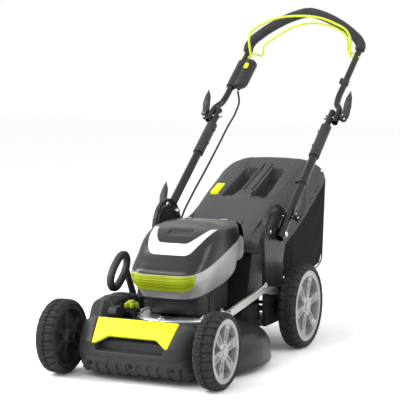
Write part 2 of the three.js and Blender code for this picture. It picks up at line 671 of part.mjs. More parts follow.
// ---------------------------------------------------------------- switch box
const BOX_RUN = [680, 812];
const lobeX = -172;
let boxBody = bar(onTube(-TUBE_X - 1.5, BOX_RUN[0]), onTube(-TUBE_X - 1.5, BOX_RUN[1]), 16, 12);
boxBody = boxBody.add(bar(onTube(lobeX, BOX_RUN[0] + 26, -3), onTube(lobeX, BOX_RUN[1], -3), 23, 16));
const bossFrom = onTube(lobeX - 4, BOX_RUN[0] + 2, -8);
boxBody = boxBody.add(bar(bossFrom, onTube(lobeX, BOX_RUN[0] + 27, -5), 10, 12, 20));
boxBody = boxBody.subtract(upperBore);
const BUTTON_AT = [lobeX + 2, BOX_RUN[1] - 40];
const buttonBar = (r, n0, n1) => {
  const [x, s] = BUTTON_AT;
  const ends = [s - 7, s + 7].map((at) => bar(onTube(x, at, n0), onTube(x, at, n1), r, 12));
  return wasm.Manifold.hull(ends);
};
boxBody = boxBody.subtract(buttonBar(7.5, 8, 60));
add("switch_box", largest(boxBody), "black_plastic");
add("start_button", buttonBar(7, 14, 24), "yellow");

// ---------------------------------------------------------------- cam levers
const LEAN = rad(18);
function camLever(s, at, camX) {
  const length = 96;
  const outline = [
    [-8, -7],
    [-5, -11],
    [8, -12],
    [45, -14],
    [72, -9],
    [length, 3],
    [68, 13],
    [40, 15],
    [8, 12],
    [-5, 11],
    [-8, 7],
  ];
  const [x0, x1] = [s * (camX - 8), s * (camX + 9)].sort((m, n) => m - n);
  const placed = outline.map(([q, n]) => {
    const tilt = q > 10 ? LEAN * Math.min(1, q / 50) : 0;
    return along(at + q * Math.cos(tilt), n + q * Math.sin(tilt));
  });
  let lever = plateX(placed, x0, x1);
  const slot = (q0, q1, n) => [[q0, -n], [q1, -n], [q1, n], [q0, n]].map(([q, m]) => along(at + q, m));
  lever = lever.subtract(plateX(slot(-20, 7, 5.5), x0 - 5, x1 + 5));
  const thin = [s * (camX - 14), s * (camX - 1)].sort((m, n) => m - n);
  lever = lever.subtract(plateX(slot(14, 120, 60), thin[0], thin[1]));
  return largest(lever.subtract(bar(onTube(s * camX, at, -30), onTube(s * camX, at, 30), 3 + GAP, 8)));
}
for (const [name, s] of [["left", 1], ["right", -1]]) {
  add(`lower_cam_lever_${name}`, camLever(s, LOW_CAM, CAM_X.low), "black_plastic");
  add(`upper_cam_lever_${name}`, camLever(s, UPPER_CAM, CAM_X.high), "black_plastic");
}

// ---------------------------------------------------------------- control cable
const CABLE = [
  [-178, ...along(676, -13)],
  [-180, 1086, 722],
  [-184, 1068, 690],
  [-187, 1012, 645],
  [-187, 930, 582],
  [-187, 827, 505],
  [-188, 728, 432],
  [-190, 662, 372],
  [-191, 630, 318],
  [-191, 608, 262],
  [-191.5, 570, 216],
  [-192, 520, 194],
  [-191.5, 470, 185],
  [-190, 452, 182],
  [-184, 440, 180],
  [-170, 432, 179],
  [-150, 422, 179],
  [-122, 405, 179],
  [-94, 388, 179],
];
add("control_cable", pipe(CABLE, 3.5, 8, 48), "black_plastic");

// ---------------------------------------------------------------- grass box
const BAG_ROWS = [
  [640, 412, 300, 166],
  [700, 437, 330, 172],
  [800, 478, 384, 178],
  [890, 515, 436, BAG_HALF],
  [945, 537, 468, BAG_HALF],
  [978, 546, 484, 172],
  [992, 536, 490, 150],
];
function coverLoft(grow) {
  const rows = BAG_ROWS.map((row) => [...row]);
  // The hollow runs on past the front, so that the cover is open towards the mower.
  if (grow < 0) rows[0] = rows[0].map((v, i) => v - (rows[1][i] - v) / 2);
  return loft(rows.map(([y, top, edge, w], k) => {
    const count = 14;
    const ring = [];
    const yy = y + (k === rows.length - 1 ? grow : 0);
    for (let i = 0; i <= count; i++) {
      const a = (Math.PI * i) / count;
      const soft = (v, e) => Math.sign(v) * Math.abs(v) ** e;
      const x = (w + grow) * soft(Math.cos(a), 0.45);
      ring.push([x, yy, edge + (top + grow - edge) * soft(Math.sin(a), 0.55)]);
    }
    const low = grow < 0 ? edge - 12 : edge;
    ring.push([-(w + grow), yy, low - 1], [w + grow, yy, low - 1]);
    return ring;
  }));
}
const FRONT_CUT = [[644, 300], [679, 440]];
const coverFront = plateX(
  [[644, 200], ...FRONT_CUT, [679, 700], [1200, 700], [1200, 200]],
  -BIG,
  BIG,
);
let cover = coverLoft(0).subtract(coverLoft(-WALL)).intersect(coverFront);
// Two finger recesses either side of the carrying bar.
const recess = (s) => plateX([[702, 470], [716, 405], [878, 470], [922, 545]], s * 26, s * 74);
const recessWall = (s) => plateX([[698, 470], [713, 400], [881, 465], [927, 545]], s * 22, s * 78);
for (const s of [-1, 1]) {
  const pair = (f) => (s > 0 ? f(1) : f(1).mirror([1, 0, 0]));
  cover = cover.add(pair(recessWall).intersect(coverLoft(0)));
  cover = cover.subtract(pair(recess));
}
// A shallow seat for the bag-full flag.
const FLAG = { x: [-118, -92], y: [721, 777] };
const flagPlate = (grow, up, down) => {
  const at = (y) => 437 + ((y - 700) * 41) / 100;
  const [y0, y1] = [FLAG.y[0] - grow, FLAG.y[1] + grow];
  return plateX([[y0, at(y0) - down], [y1, at(y1) - down], [y1, at(y1) + up], [y0, at(y0) + up]],
    FLAG.x[0] - grow, FLAG.x[1] + grow);
};
cover = cover.subtract(flagPlate(0.6, 30, 0.5));
add("bag_cover", largest(cover), "black_plastic");
add("bag_flag", flagPlate(0, 4.5, 0.1), "lime");

const FABRIC = [
  [641, 299],
  [641, 214],
  [700, 196],
  [905, 190],
  [945, 198],
  [962, 212],
  [985, 486],
  [978, 482.2],
  [945, 466.2],
];
const FABRIC_TOP = [[890, 434.2], [800, 382.2], [700, 328.2]];
const fabricOuter = plateX([...FABRIC, ...FABRIC_TOP], -BAG_HALF + 4, BAG_HALF - 4);
const FABRIC_IN = [
  [600, 299],
  [600, 219],
  [702, 200],
  [904, 194],
  [942, 202],
  [958, 214],
  [979, 470],
  [979, 560],
  [600, 560],
];
const fabric = fabricOuter.subtract(plateX(FABRIC_IN, -BAG_HALF + 8, BAG_HALF - 8));
add("bag_fabric", largest(fabric), "fabric");
// The mouth frame closes the front of the fabric and hooks over the brackets.
const mouth = box([-166, 166], [629, 640.4], [216, 390]).subtract(box([-148, 148], [620, 650], [234, 374]));
add("bag_frame", mouth, "black_plastic");

// ---------------------------------------------------------------- rear door
const DOOR_HALF = 150;
const DOOR_TOP = [[480, 304], [491, 331], [518, 357], [560, 377], [671, 427]];
const DOOR_IN = [[671, 422], [562, 372], [521, 352], [495, 328], [485, 304]];
let door = plateX([...DOOR_TOP, ...DOOR_IN], -DOOR_HALF, DOOR_HALF);
door = door.add(bar([-DOOR_HALF, ...DOOR_HINGE], [DOOR_HALF, ...DOOR_HINGE], 6, 12));
for (const s of [-1, 1]) {
  const cheek = [[530, 330], ...DOOR_TOP.slice(2), [671, 412], [600, 380]];
  const [x0, x1] = [s * (DOOR_HALF - 4), s * DOOR_HALF].sort((m, n) => m - n);
  door = door.add(plateX(cheek, x0, x1));
}
add("rear_door", door, "black_plastic");

// ---------------------------------------------------------------- height lever
const LOOP = { centre: [250, 253], half: [68, 40], turn: rad(40) };
function loopOutline(inset, count) {
  return Array.from({ length: count }, (_, i) => {
    const a = (2 * Math.PI * i) / count;
    const soft = (v) => Math.sign(v) * Math.abs(v) ** 0.85;
    const u = (LOOP.half[0] - inset) * soft(Math.cos(a));
    const v = (LOOP.half[1] - inset) * soft(Math.sin(a));
    return [
      LOOP.centre[0] + u * Math.cos(LOOP.turn) - v * Math.sin(LOOP.turn),
      LOOP.centre[1] + u * Math.sin(LOOP.turn) + v * Math.cos(LOOP.turn),
    ];
  });
}
let lever = plateX(loopOutline(0, 20), -204, -184);
lever = lever.add(strut([LEVER_PIVOT[0], LEVER_PIVOT[1]], [292, 262], 12, -199, -191));
lever = lever.add(bar([-199, ...LEVER_PIVOT], [-191, ...LEVER_PIVOT], 15, 12));
lever = lever.subtract(plateX(loopOutline(20, 16), -BIG, BIG));
lever = lever.subtract(bar([-220, ...LEVER_PIVOT], [-180, ...LEVER_PIVOT], 6 + GAP, 12));
add("height_lever", lever, "black_plastic");

// ---------------------------------------------------------------- side cover and its star knob
const COVER_ROWS = [[112, 24, 118], [124, 34, 176], [190, 42, 188], [300, 42, 186], [316, 34, 160]];
let sideCover = loft(COVER_ROWS.map(([y, half, top]) => {
  const ring = [];
  for (let i = 0; i < 12; i++) {
    const a = (2 * Math.PI * (i + 0.5)) / 12;
    const soft = (v) => Math.sign(v) * Math.abs(v) ** 0.5;
    ring.push([-194 + half * soft(Math.cos(a)), y, (70 + top) / 2 + ((top - 70) / 2) * soft(Math.sin(a))]);
  }
  return ring;
}));
sideCover = sideCover.add(box([-170, -96], [168, 204], [150, 160]));
sideCover = sideCover.subtract(dome(0.5)).subtract(deckPostGap());
function deckPostGap() {
  return box([-190, -172], [336, 368], [60, 170]);
}
const KNOB = [-118, 186];
sideCover = sideCover.subtract(bar([...KNOB, 130], [...KNOB, 170], 4 + GAP, 12));
add("side_cover", largest(sideCover), "black_plastic");
const star = Array.from({ length: 10 }, (_, i) => {
  const a = (Math.PI * i) / 5;
  const r = i % 2 ? 11 : 22;
  return new THREE.Vector2(KNOB[0] + r * Math.cos(a), KNOB[1] + r * Math.sin(a));
});
const starGeometry = new THREE.ExtrudeGeometry(new THREE.Shape(star), { depth: 14, bevelEnabled: false });
starGeometry.translate(0, 0, 162);
const knob = solid(starGeometry)
  .add(bar([...KNOB, 174], [...KNOB, 184], 12, 12, 9))
  .add(bar([...KNOB, 144], [...KNOB, 166], 4, 12));
add("star_knob", knob, "lime");

// ---------------------------------------------------------------- footprint's middle to the origin
const extent = new THREE.Box3().setFromObject(mower);
const middle = extent.getCenter(new THREE.Vector3());
mower.position.set(0, -middle.y, 0);

export default mower;
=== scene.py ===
# %% [markdown]
# # A cordless lawn mower, piece by piece
# The engineering model of the mower is loaded first and stays as it is: it fixes every size
# and every joint. This lesson gives each piece you can see a smooth, detailed surface and a
# finish worked out from what the real piece is made of.

# %% Load the model and measure it
import math

import bmesh
import bpy
import numpy as np
from mathutils import Matrix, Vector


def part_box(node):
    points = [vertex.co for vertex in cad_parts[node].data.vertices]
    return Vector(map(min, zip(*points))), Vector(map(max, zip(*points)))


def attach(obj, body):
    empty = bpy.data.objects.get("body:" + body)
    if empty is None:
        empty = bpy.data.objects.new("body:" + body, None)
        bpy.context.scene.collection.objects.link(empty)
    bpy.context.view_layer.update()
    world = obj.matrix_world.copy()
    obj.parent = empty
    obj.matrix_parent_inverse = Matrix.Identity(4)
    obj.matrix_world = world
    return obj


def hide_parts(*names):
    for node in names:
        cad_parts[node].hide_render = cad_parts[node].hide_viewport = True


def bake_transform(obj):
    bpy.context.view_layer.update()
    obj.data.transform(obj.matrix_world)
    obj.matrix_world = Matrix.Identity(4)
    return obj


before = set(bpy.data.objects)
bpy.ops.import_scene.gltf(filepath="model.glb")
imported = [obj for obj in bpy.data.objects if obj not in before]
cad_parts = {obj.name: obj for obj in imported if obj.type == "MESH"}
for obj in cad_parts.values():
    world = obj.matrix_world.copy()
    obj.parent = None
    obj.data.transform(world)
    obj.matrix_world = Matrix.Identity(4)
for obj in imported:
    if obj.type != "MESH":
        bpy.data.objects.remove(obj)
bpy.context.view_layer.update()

PI = math.pi
MM = 0.001
tyre_low, tyre_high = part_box("tyre_front_left")
AXLE_Y = (tyre_low[1] + tyre_high[1]) / 2
FRONT_R = (tyre_high[2] - tyre_low[2]) / 2 / MM
rear_low, rear_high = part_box("tyre_rear_left")
REAR_R = (rear_high[2] - rear_low[2]) / 2 / MM
REAR_Y = (rear_low[1] + rear_high[1]) / 2 / MM - AXLE_Y / MM
WHEEL_IN = tyre_low[0] / MM
print("front axle at y", round(AXLE_Y, 4), "radii", round(FRONT_R, 1), round(REAR_R, 1))

# %% [markdown]
# Everything is drawn in millimetres from the point on the ground under the front axle, as a
# workshop drawing would be: -Y is forwards. One function turns those numbers into the
# model's metres.


# %% From drawing to model
def placed(points):
    """Points in drawing millimetres, moved so the front axle is where the model has it."""
    return np.asarray(points, float) * MM + np.array([0.0, AXLE_Y, 0.0])


print("drawing origin in the model:", placed([0, 0, 0]))

# %% [markdown]
# The camera stands low in front and to the right with a long lens, so that upright edges
# stay nearly upright.

# %% Camera
CAMERA_AT = placed([1722.84, -3240.27, 861.31])
CAMERA_TO = placed([-4.61, 403.89, 455.49])
camera_data = bpy.data.cameras.new("camera")
camera_data.lens = 123.81
camera_data.sensor_width = 36.0
camera_data.clip_end = 60.0
camera = bpy.data.objects.new("camera", camera_data)
bpy.context.scene.collection.objects.link(camera)
forward = CAMERA_TO - CAMERA_AT
forward = forward / np.linalg.norm(forward)
right = np.cross(forward, [0, 0, 1])
right = right / np.linalg.norm(right)
up = np.cross(right, forward)
turn = np.eye(4)
turn[:3, 0] = right
turn[:3, 1] = up
turn[:3, 2] = -forward
turn[:3, 3] = CAMERA_AT
camera.matrix_world = Matrix(turn.tolist())
bpy.context.scene.camera = camera
print("camera looks along", np.round(forward, 3))

# %% [markdown]
# A finish starts from a colour written as a painter's hex value. Shaders need linear light,
# so one function converts it. One more small function adds a node, sets its sockets and
# links what feeds it.


# %% Colour and node helpers
def linear(hex_code):
    """sRGB hex to linear RGBA: each channel c becomes ((c + 0.055) / 1.055) to the 2.4."""
    raw = np.array([int(hex_code[i : i + 2], 16) / 255 for i in (1, 3, 5)])
    low = raw / 12.92
    high = ((raw + 0.055) / 1.055) ** 2.4
    return (*np.where(raw <= 0.04045, low, high).tolist(), 1.0)


def node(tree, kind, values=None, links=None, **settings):
    """Add one node, set its properties and socket values, and link what feeds it."""
    made = tree.nodes.new(kind)
    for key, value in settings.items():
        setattr(made, key, value)
    for key, value in (values or {}).items():
        made.inputs[key].default_value = value
    for key, source in (links or {}).items():
        tree.links.new(source, made.inputs[key])
    return made


print("mid grey is", [round(c, 3) for c in linear("#808080")])

# %% [markdown]
# Most of this machine is moulded or painted, and those finishes are built alike: two close
# tones drifting over some centimetres, a gloss that is not quite even, and a fine grain in
# the surface. Real moulding grain is under a millimetre; here it is drawn at 2 to 3 mm so
# that it shows at all. Metals are built the same way, and brushed steel adds brushing.


# %% A surface with tone, gloss and grain
def surface(
    name, tones, rough, grain, metallic=0.0, coat=0.0, drift=60.0, sheen=0.0, stretch=(1, 1, 1), shine=0.5
):
    """Tone and roughness follow slow noise, the bump fine noise: grain is (size mm, depth mm)."""
    made = bpy.data.materials.new(name)
    made.use_nodes = True
    tree = made.node_tree
    shader = tree.nodes["Principled BSDF"]
    place = node(tree, "ShaderNodeTexCoord")
    scaled = node(tree, "ShaderNodeMapping", {"Scale": stretch}, {"Vector": place.outputs["Object"]})
    slow = node(
        tree,
        "ShaderNodeTexNoise",
        {"Scale": 1 / (drift * MM), "Detail": 4.0, "Roughness": 0.6},
        {"Vector": scaled.outputs[0]},
    )
    tone = node(tree, "ShaderNodeValToRGB", links={"Fac": slow.outputs["Fac"]})
    tone.color_ramp.elements[0].position = 0.3
    tone.color_ramp.elements[0].color = linear(tones[0])
    tone.color_ramp.elements[1].position = 0.72
    tone.color_ramp.elements[1].color = linear(tones[1])
    tree.links.new(tone.outputs[0], shader.inputs["Base Color"])
    gloss = node(
        tree,
        "ShaderNodeMapRange",
        {"From Min": 0.3, "From Max": 0.7, "To Min": rough[0], "To Max": rough[1]},
        {"Value": slow.outputs["Fac"]},
    )
    tree.links.new(gloss.outputs[0], shader.inputs["Roughness"])
    fine = node(
        tree,
        "ShaderNodeTexNoise",
        {"Scale": 1 / (grain[0] * MM), "Detail": 3.0},
        {"Vector": scaled.outputs[0]},
    )
    bump = node(
        tree,
        "ShaderNodeBump",
        {"Strength": 0.6, "Distance": grain[1] * MM},
        {"Height": fine.outputs["Fac"]},
    )
    tree.links.new(bump.outputs[0], shader.inputs["Normal"])
    shader.inputs["Metallic"].default_value = metallic
    shader.inputs["Specular IOR Level"].default_value = shine
    shader.inputs["Coat Weight"].default_value = coat
    shader.inputs["Coat Roughness"].default_value = 0.12
    shader.inputs["Sheen Weight"].default_value = sheen
    return made


# %% [markdown]
# The finishes of the mower, each named for the real material.

# %% Moulded and painted finishes
# Glass-filled polypropylene straight from the tool: matt, faintly grey where it is thin.
moulded_black = surface(
    "moulded polypropylene", ("#212223", "#2B2C2D"), (0.42, 0.56), (2.6, 0.10), shine=0.32
)
# The deck skirt is the same plastic with more polish, so it mirrors the ground softly.
deck_black = surface(
    "polished polypropylene deck", ("#1B1C1D", "#262728"), (0.3, 0.42), (3.0, 0.08), shine=0.3
)
# The grass box lid is lighter and has a spark-eroded texture that scatters light widely.
bag_grey = surface(
    "textured ABS grass box", ("#353637", "#3E3F40"), (0.5, 0.62), (2.2, 0.12), drift=120, shine=0.3
)
# The battery lid is piano-like ABS: dark, with a clear moulded gloss.
gloss_grey = surface(
    "glossy ABS lid", ("#131315", "#1A1A1C"), (0.26, 0.34), (18.0, 0.02), coat=0.1, shine=0.35
)
# Silver paint over ABS: tiny flakes in lacquer, seen as a soft satin glow.
silver_paint = surface("silver lacquered ABS", ("#9C9C9D", "#A9A9AA"), (0.3, 0.38), (2.0, 0.02), 0.35)
# The floor of the wheel cover sits in shade, so it has its own darker grey.
wheel_shade = surface("shaded wheel recess", ("#4A4B4C", "#585959"), (0.4, 0.5), (2.4, 0.03), 0.2)
dark_silver = surface("grey lacquered ABS", ("#7E7F80", "#8A8B8C"), (0.3, 0.38), (2.0, 0.02), 0.3)
# Wheel covers are plated ABS with the same satin, a little brighter.
wheel_silver = surface("silver wheel cover", ("#8C8D8E", "#9A9B9C"), (0.26, 0.36), (2.4, 0.03), 0.4)
# The grip, flag and button are nylon coloured all through; vents and bails are greener.
grip_yellow = surface("yellow nylon", ("#C9CD08", "#D4D80F"), (0.36, 0.46), (2.4, 0.05), shine=0.25)
lime_abs = surface("lime ABS", ("#8D980C", "#9EA914"), (0.34, 0.46), (2.4, 0.05), shine=0.3)
bail_lime = surface("lime dipped wire", ("#AEBA0C", "#BCC814"), (0.3, 0.4), (3.0, 0.03), shine=0.4)
strip_white = surface("white foil strip", ("#BEBEBE", "#CACACA"), (0.38, 0.46), (2.0, 0.02))
# Powder coat on the tubes flows like orange peel, and shines.
tube_black = surface(
    "black powder coat", ("#09090A", "#101011"), (0.18, 0.26), (4.0, 0.03), coat=0.2, shine=0.35
)
plate_black = surface("black phosphated steel", ("#151516", "#202021"), (0.34, 0.5), (3.0, 0.05), 0.3)
tyre_rubber = surface("tyre rubber", ("#171718", "#232324"), (0.62, 0.8), (2.4, 0.14), drift=25, shine=0.3)
foam_grey = surface(
    "EVA foam", ("#242425", "#323233"), (0.85, 0.95), (2.0, 0.5), drift=10, sheen=0.1, shine=0.25
)
cable_pvc = surface("PVC cable sheath", ("#1A1A1B", "#262627"), (0.4, 0.55), (3.0, 0.1), shine=0.3)
cavity_black = surface("shadowed cavity", ("#0B0B0C", "#121213"), (0.7, 0.85), (3.0, 0.05))
# Die-cast aluminium keeps a frosted skin; turned faces are brighter.
cast_aluminium = surface("die cast aluminium", ("#B9BBBD", "#D0D2D4"), (0.28, 0.42), (3.0, 0.08), 1.0)
zinc_steel = surface("zinc plated steel", ("#BDBBB6", "#D4D2CD"), (0.2, 0.3), (4.0, 0.03), 1.0)
# Brushed strip: the noise is stretched 30 times along the length, as emery leaves it.
brushed_steel = surface(
    "brushed steel strip",
    ("#9F9D99", "#C9C7C3"),
    (0.28, 0.44),
    (2.0, 0.05),
    1.0,
    drift=12,
    stretch=(1, 0.08, 1),
)
print("finishes so far:", len(bpy.data.materials))

# %% [markdown]
# The grass box is woven polyester. Two sets of threads cross, so two wave patterns are
# multiplied. The real threads are 0.5 mm apart; at 3 mm the weave can just be seen.

# %% Woven polyester
woven = surface(
    "woven polyester", ("#111112", "#1A1A1B"), (0.8, 0.92), (1.5, 0.2), drift=90, sheen=0.01, shine=0.1
)
tree = woven.node_tree
coords = node(tree, "ShaderNodeTexCoord")
THREAD_MM = 3.0
WAVE = {"Scale": 1 / (THREAD_MM * MM) / 6.28, "Distortion": 0.4}
from_object = {"Vector": coords.outputs["Object"]}
warp = node(tree, "ShaderNodeTexWave", WAVE, from_object, bands_direction="Y")
weft = node(tree, "ShaderNodeTexWave", WAVE, from_object, bands_direction="Z")
both = {0: warp.outputs["Fac"], 1: weft.outputs["Fac"]}
crossing = node(tree, "ShaderNodeMath", links=both, operation="MULTIPLY")
threads = node(
    tree,
    "ShaderNodeBump",
    {"Strength": 0.7, "Distance": 0.4 * MM},
    {"Height": crossing.outputs[0]},
)
tree.links.new(threads.outputs[0], tree.nodes["Principled BSDF"].inputs["Normal"])
print("weave drawn every", THREAD_MM, "mm")

# %% [markdown]
# Plain studio: a pale floor, an even white surround and three soft lights. The tall light
# on the left draws the bright line down each handle tube.


# %% Floor, surround and lights
def lamp(name, at, to, size, power):
    """A soft rectangular light at one point, facing another."""
    data = bpy.data.lights.new(name, "AREA")
    data.shape = "RECTANGLE"
    data.size = size[0]
    data.size_y = size[1]
    data.energy = power
    made = bpy.data.objects.new(name, data)
    bpy.context.scene.collection.objects.link(made)
    away = np.asarray(at, float) - np.asarray(to, float)
    back = away / np.linalg.norm(away)
    across = np.cross([0, 0, 1], back)
    across = across / np.linalg.norm(across)
    grid = np.eye(4)
    grid[:3, 0] = across
    grid[:3, 1] = np.cross(back, across)
    grid[:3, 2] = back
    grid[:3, 3] = at
    made.matrix_world = Matrix(grid.tolist())
    return made


floor_mesh = bpy.data.meshes.new("floor")
REACH = 14.0
corners = [(x * REACH, y * REACH, -0.001) for x, y in ((-1, -1), (1, -1), (1, 1), (-1, 1))]
floor_mesh.from_pydata(corners, [], [(0, 1, 2, 3)])
floor = bpy.data.objects.new("floor", floor_mesh)
bpy.context.scene.collection.objects.link(floor)
pale_floor = surface("pale studio floor", ("#FAFAFA", "#FDFDFD"), (0.6, 0.7), (40, 0.01), shine=0.2)
floor_mesh.materials.append(pale_floor)
world = bpy.data.worlds.new("studio")
bpy.context.scene.world = world
world.use_nodes = True
world.node_tree.nodes["Background"].inputs["Color"].default_value = (1, 1, 1, 1)
world.node_tree.nodes["Background"].inputs["Strength"].default_value = 1.0
bpy.context.scene.view_settings.view_transform = "Standard"
lamp("key light", (-1.2, -2.6, 3.0), (0, 0, 0.3), (2.0, 2.0), 70)
lamp("side light", (2.8, -0.6, 2.2), (0, 0, 0.4), (1.4, 2.4), 45)
lamp("tube light", (-2.4, -1.2, 1.8), (0, 0, 0.7), (0.35, 2.6), 90)
print("studio ready")

# %% [markdown]
# Shapes are worked out as whole arrays. A grid of points becomes a skin of four-sided
# faces; a second grid inside it gives a wall of real thickness. The helpers below only
# number the faces, so that each piece can be read as its formula alone.


# %% Skins from grids
def skin(grid, wrap_rows=False, wrap_columns=False, ends=False):
    """Faces over a (rows, columns, 3) grid; either direction may close, ends add end faces."""
    rows, columns = grid.shape[:2]
    index = np.arange(rows * columns).reshape(rows, columns)
    down = np.roll(index, -1, 0) if wrap_rows else index[1:]
    here = index if wrap_rows else index[:-1]
    if not wrap_columns:
        here_a, here_b, down_a, down_b = here[:, :-1], here[:, 1:], down[:, :-1], down[:, 1:]
    else:
        here_a, here_b, down_a, down_b = here, np.roll(here, -1, 1), down, np.roll(down, -1, 1)
    faces = np.stack([here_a, here_b, down_b, down_a], -1).reshape(-1, 4).tolist()
    if ends:
        faces.append(index[0, ::-1].tolist())
        faces.append(index[-1].tolist())
    return grid.reshape(-1, 3), faces


def walled(outer, inner, closed=False):
    """A closed shell between two grids of one shape; closed means the columns run round."""
    both = np.concatenate([outer, inner[::-1]], 0)
    points, faces = skin(both, wrap_rows=True, wrap_columns=closed)
    if not closed:
        rows, columns = outer.shape[:2]
        index = np.arange(2 * rows * columns).reshape(2 * rows, columns)
        for column in (0, columns - 1):
            out_edge = index[:rows, column]
            in_edge = index[rows:, column][::-1]
            strip = np.stack([out_edge[:-1], out_edge[1:], in_edge[1:], in_edge[:-1]], -1)
            faces += strip.tolist()
    return points, faces


def joined(*shells):
    """Several shells as one list of points and one of faces."""
    points = np.concatenate([shell[0] for shell in shells])
    start = np.cumsum([0] + [len(shell[0]) for shell in shells])
    faces = [[i + first for i in face] for shell, first in zip(shells, start) for face in shell[1]]
    return points, faces


def piece(name, shell, material, body, stands_for=(), crease=38, bevel=0.0, levels=0):
    """Make a shell an object: merge doubles, face it outwards, smooth it, and let it ride."""
    points, faces = shell
    mesh = bpy.data.meshes.new(name)
    mesh.from_pydata(placed(points).tolist(), [], faces)
    work = bmesh.new()
    work.from_mesh(mesh)
    bmesh.ops.remove_doubles(work, verts=work.verts, dist=2e-6)
    bmesh.ops.dissolve_degenerate(work, edges=work.edges, dist=1e-6)
    bmesh.ops.recalc_face_normals(work, faces=work.faces)
    work.to_mesh(mesh)
    work.free()
    mesh.shade_smooth()
    mesh.set_sharp_from_angle(angle=math.radians(crease))
    mesh.materials.append(material)
    made = bpy.data.objects.new(name, mesh)
    bpy.context.scene.collection.objects.link(made)
    if bevel:
        edge = made.modifiers.new("rounded edges", "BEVEL")
        edge.width = bevel * MM
        edge.segments = 3
        edge.limit_method = "ANGLE"
        edge.angle_limit = math.radians(35)
        edge.harden_normals = True
    if levels:
        smooth = made.modifiers.new("smooth", "SUBSURF")
        smooth.levels = levels
        smooth.render_levels = levels
    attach(made, body)
    if stands_for:
        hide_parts(*stands_for)
    return made


print("grid helpers ready")

# %% [markdown]
# Three more ways to get a grid: a profile turned about an axle, a ring carried along a
# path, and a flat outline given thickness.


# %% Turned, swept and plate shapes
def rounded(points, radius, count=5, closed=True):
    """Replace each corner of a flat outline by a short curve that starts radius before it."""
    p = np.asarray(points, float)
    before = np.roll(p, 1, 0)
    after = np.roll(p, -1, 0)
    to_before = before - p
    to_after = after - p
    len_b = np.linalg.norm(to_before, axis=1, keepdims=True)
    len_a = np.linalg.norm(to_after, axis=1, keepdims=True)
    a = p + to_before / len_b * np.minimum(radius, len_b * 0.48)
    b = p + to_after / len_a * np.minimum(radius, len_a * 0.48)
    t = np.linspace(0, 1, count)[None, :, None]
    curve = (1 - t) ** 2 * a[:, None] + 2 * t * (1 - t) * p[:, None] + t**2 * b[:, None]
    if not closed:
        middle = curve[1:-1].reshape(-1, 2)
        return np.concatenate([p[:1], middle, p[-1:]])
    return curve.reshape(-1, 2)


def turned(profile, sides, axis, centre, closed=True):
    """Points (radius, distance along the axis) turned about X or Z through centre."""
    radius, height = np.asarray(profile, float).T
    angle = np.linspace(0, 2 * PI, sides, endpoint=False)
    ring_a = radius[:, None] * np.cos(angle)
    ring_b = radius[:, None] * np.sin(angle)
    level = np.repeat(height[:, None], sides, 1)
    parts = (level, ring_a, ring_b) if axis == "x" else (ring_a, ring_b, level)
    grid = np.stack(parts, -1) + np.asarray(centre, float)
    return skin(grid, wrap_rows=closed, wrap_columns=True)


def eased(points, count):
    """A smooth path through points: each span is a cubic whose ends share one slope."""
    p = np.asarray(points, float)
    chord = np.linalg.norm(np.diff(p, axis=0), axis=1)
    t = np.concatenate([[0], np.cumsum(chord)])
    slope = np.gradient(p, t, axis=0)
    at = np.linspace(0, t[-1], count)
    k = np.clip(np.searchsorted(t, at, side="right") - 1, 0, len(p) - 2)
    h = (t[k + 1] - t[k])[:, None]
    u = ((at - t[k])[:, None]) / h
    return (
        (2 * u**3 - 3 * u**2 + 1) * p[k]
        + (u**3 - 2 * u**2 + u) * h * slope[k]
        + (3 * u**2 - 2 * u**3) * p[k + 1]
        + (u**3 - u**2) * h * slope[k + 1]
    )


def carried(path, radius, sides=16, normal=(1, 0, 0), squeeze=1.0):
    """A ring of the given radius (one number or one for each point) carried along a path.

    The ring starts with its first direction along the normal and is never twisted: each
    step only takes out what would point along the path."""
    p = np.asarray(path, float)
    ahead = np.gradient(p, axis=0)
    ahead = ahead / np.linalg.norm(ahead, axis=1, keepdims=True)
    side = np.zeros(p.shape)
    last = np.asarray(normal, float)
    for i, way in enumerate(ahead):
        last = last - way * (way @ last)
        last = last / np.linalg.norm(last)
        side[i] = last
    other = np.cross(ahead, side)
    size = np.broadcast_to(np.asarray(radius, float), len(p))[:, None, None]
    angle = np.linspace(0, 2 * PI, sides, endpoint=False)[None, :, None]
    return p[:, None] + size * (np.cos(angle) * side[:, None] + squeeze * np.sin(angle) * other[:, None])


def spaced(wide, tall, power_x, power_z, start, end, count):
    """Angles that put even steps along x = wide cos^power_x, z = tall sin^power_z."""
    t = np.linspace(start, end, 60001)
    x = wide * np.sign(np.cos(t)) * np.abs(np.cos(t)) ** power_x
    z = tall * np.sign(np.sin(t)) * np.abs(np.sin(t)) ** power_z
    run = np.concatenate([[0], np.cumsum(np.hypot(np.diff(x), np.diff(z)))])
    return np.interp(np.linspace(0, run[-1], count), run, t)


def swept(path, radius, sides=16, normal=(1, 0, 0), squeeze=1.0):
    """The solid bar that a carried ring makes, closed at both ends."""
    return skin(carried(path, radius, sides, normal, squeeze), wrap_columns=True, ends=True)


def rod(start, end, radius, sides=24, edge=0.8):
    """A straight round bar with its two end edges eased off."""
    p = np.asarray(start, float)
    q = np.asarray(end, float)
    length = np.linalg.norm(q - p)
    edge = min(edge, length / 3)
    stations = np.array([0, 0, edge / length, 1 - edge / length, 1, 1])
    sizes = np.array([0.001, radius - edge, radius, radius, radius - edge, 0.001])
    ahead = (q - p) / length
    guide = [0, 0, 1] if abs(ahead[2]) < 0.8 else [1, 0, 0]
    side = np.cross(ahead, guide)
    side = side / np.linalg.norm(side)
    other = np.cross(ahead, side)
    angle = np.linspace(0, 2 * PI, sides, endpoint=False)[None, :, None]
    spots = p + stations[:, None] * (q - p)
    ring = np.cos(angle) * side + np.sin(angle) * other
    return skin(spots[:, None] + sizes[:, None, None] * ring, wrap_columns=True, ends=True)


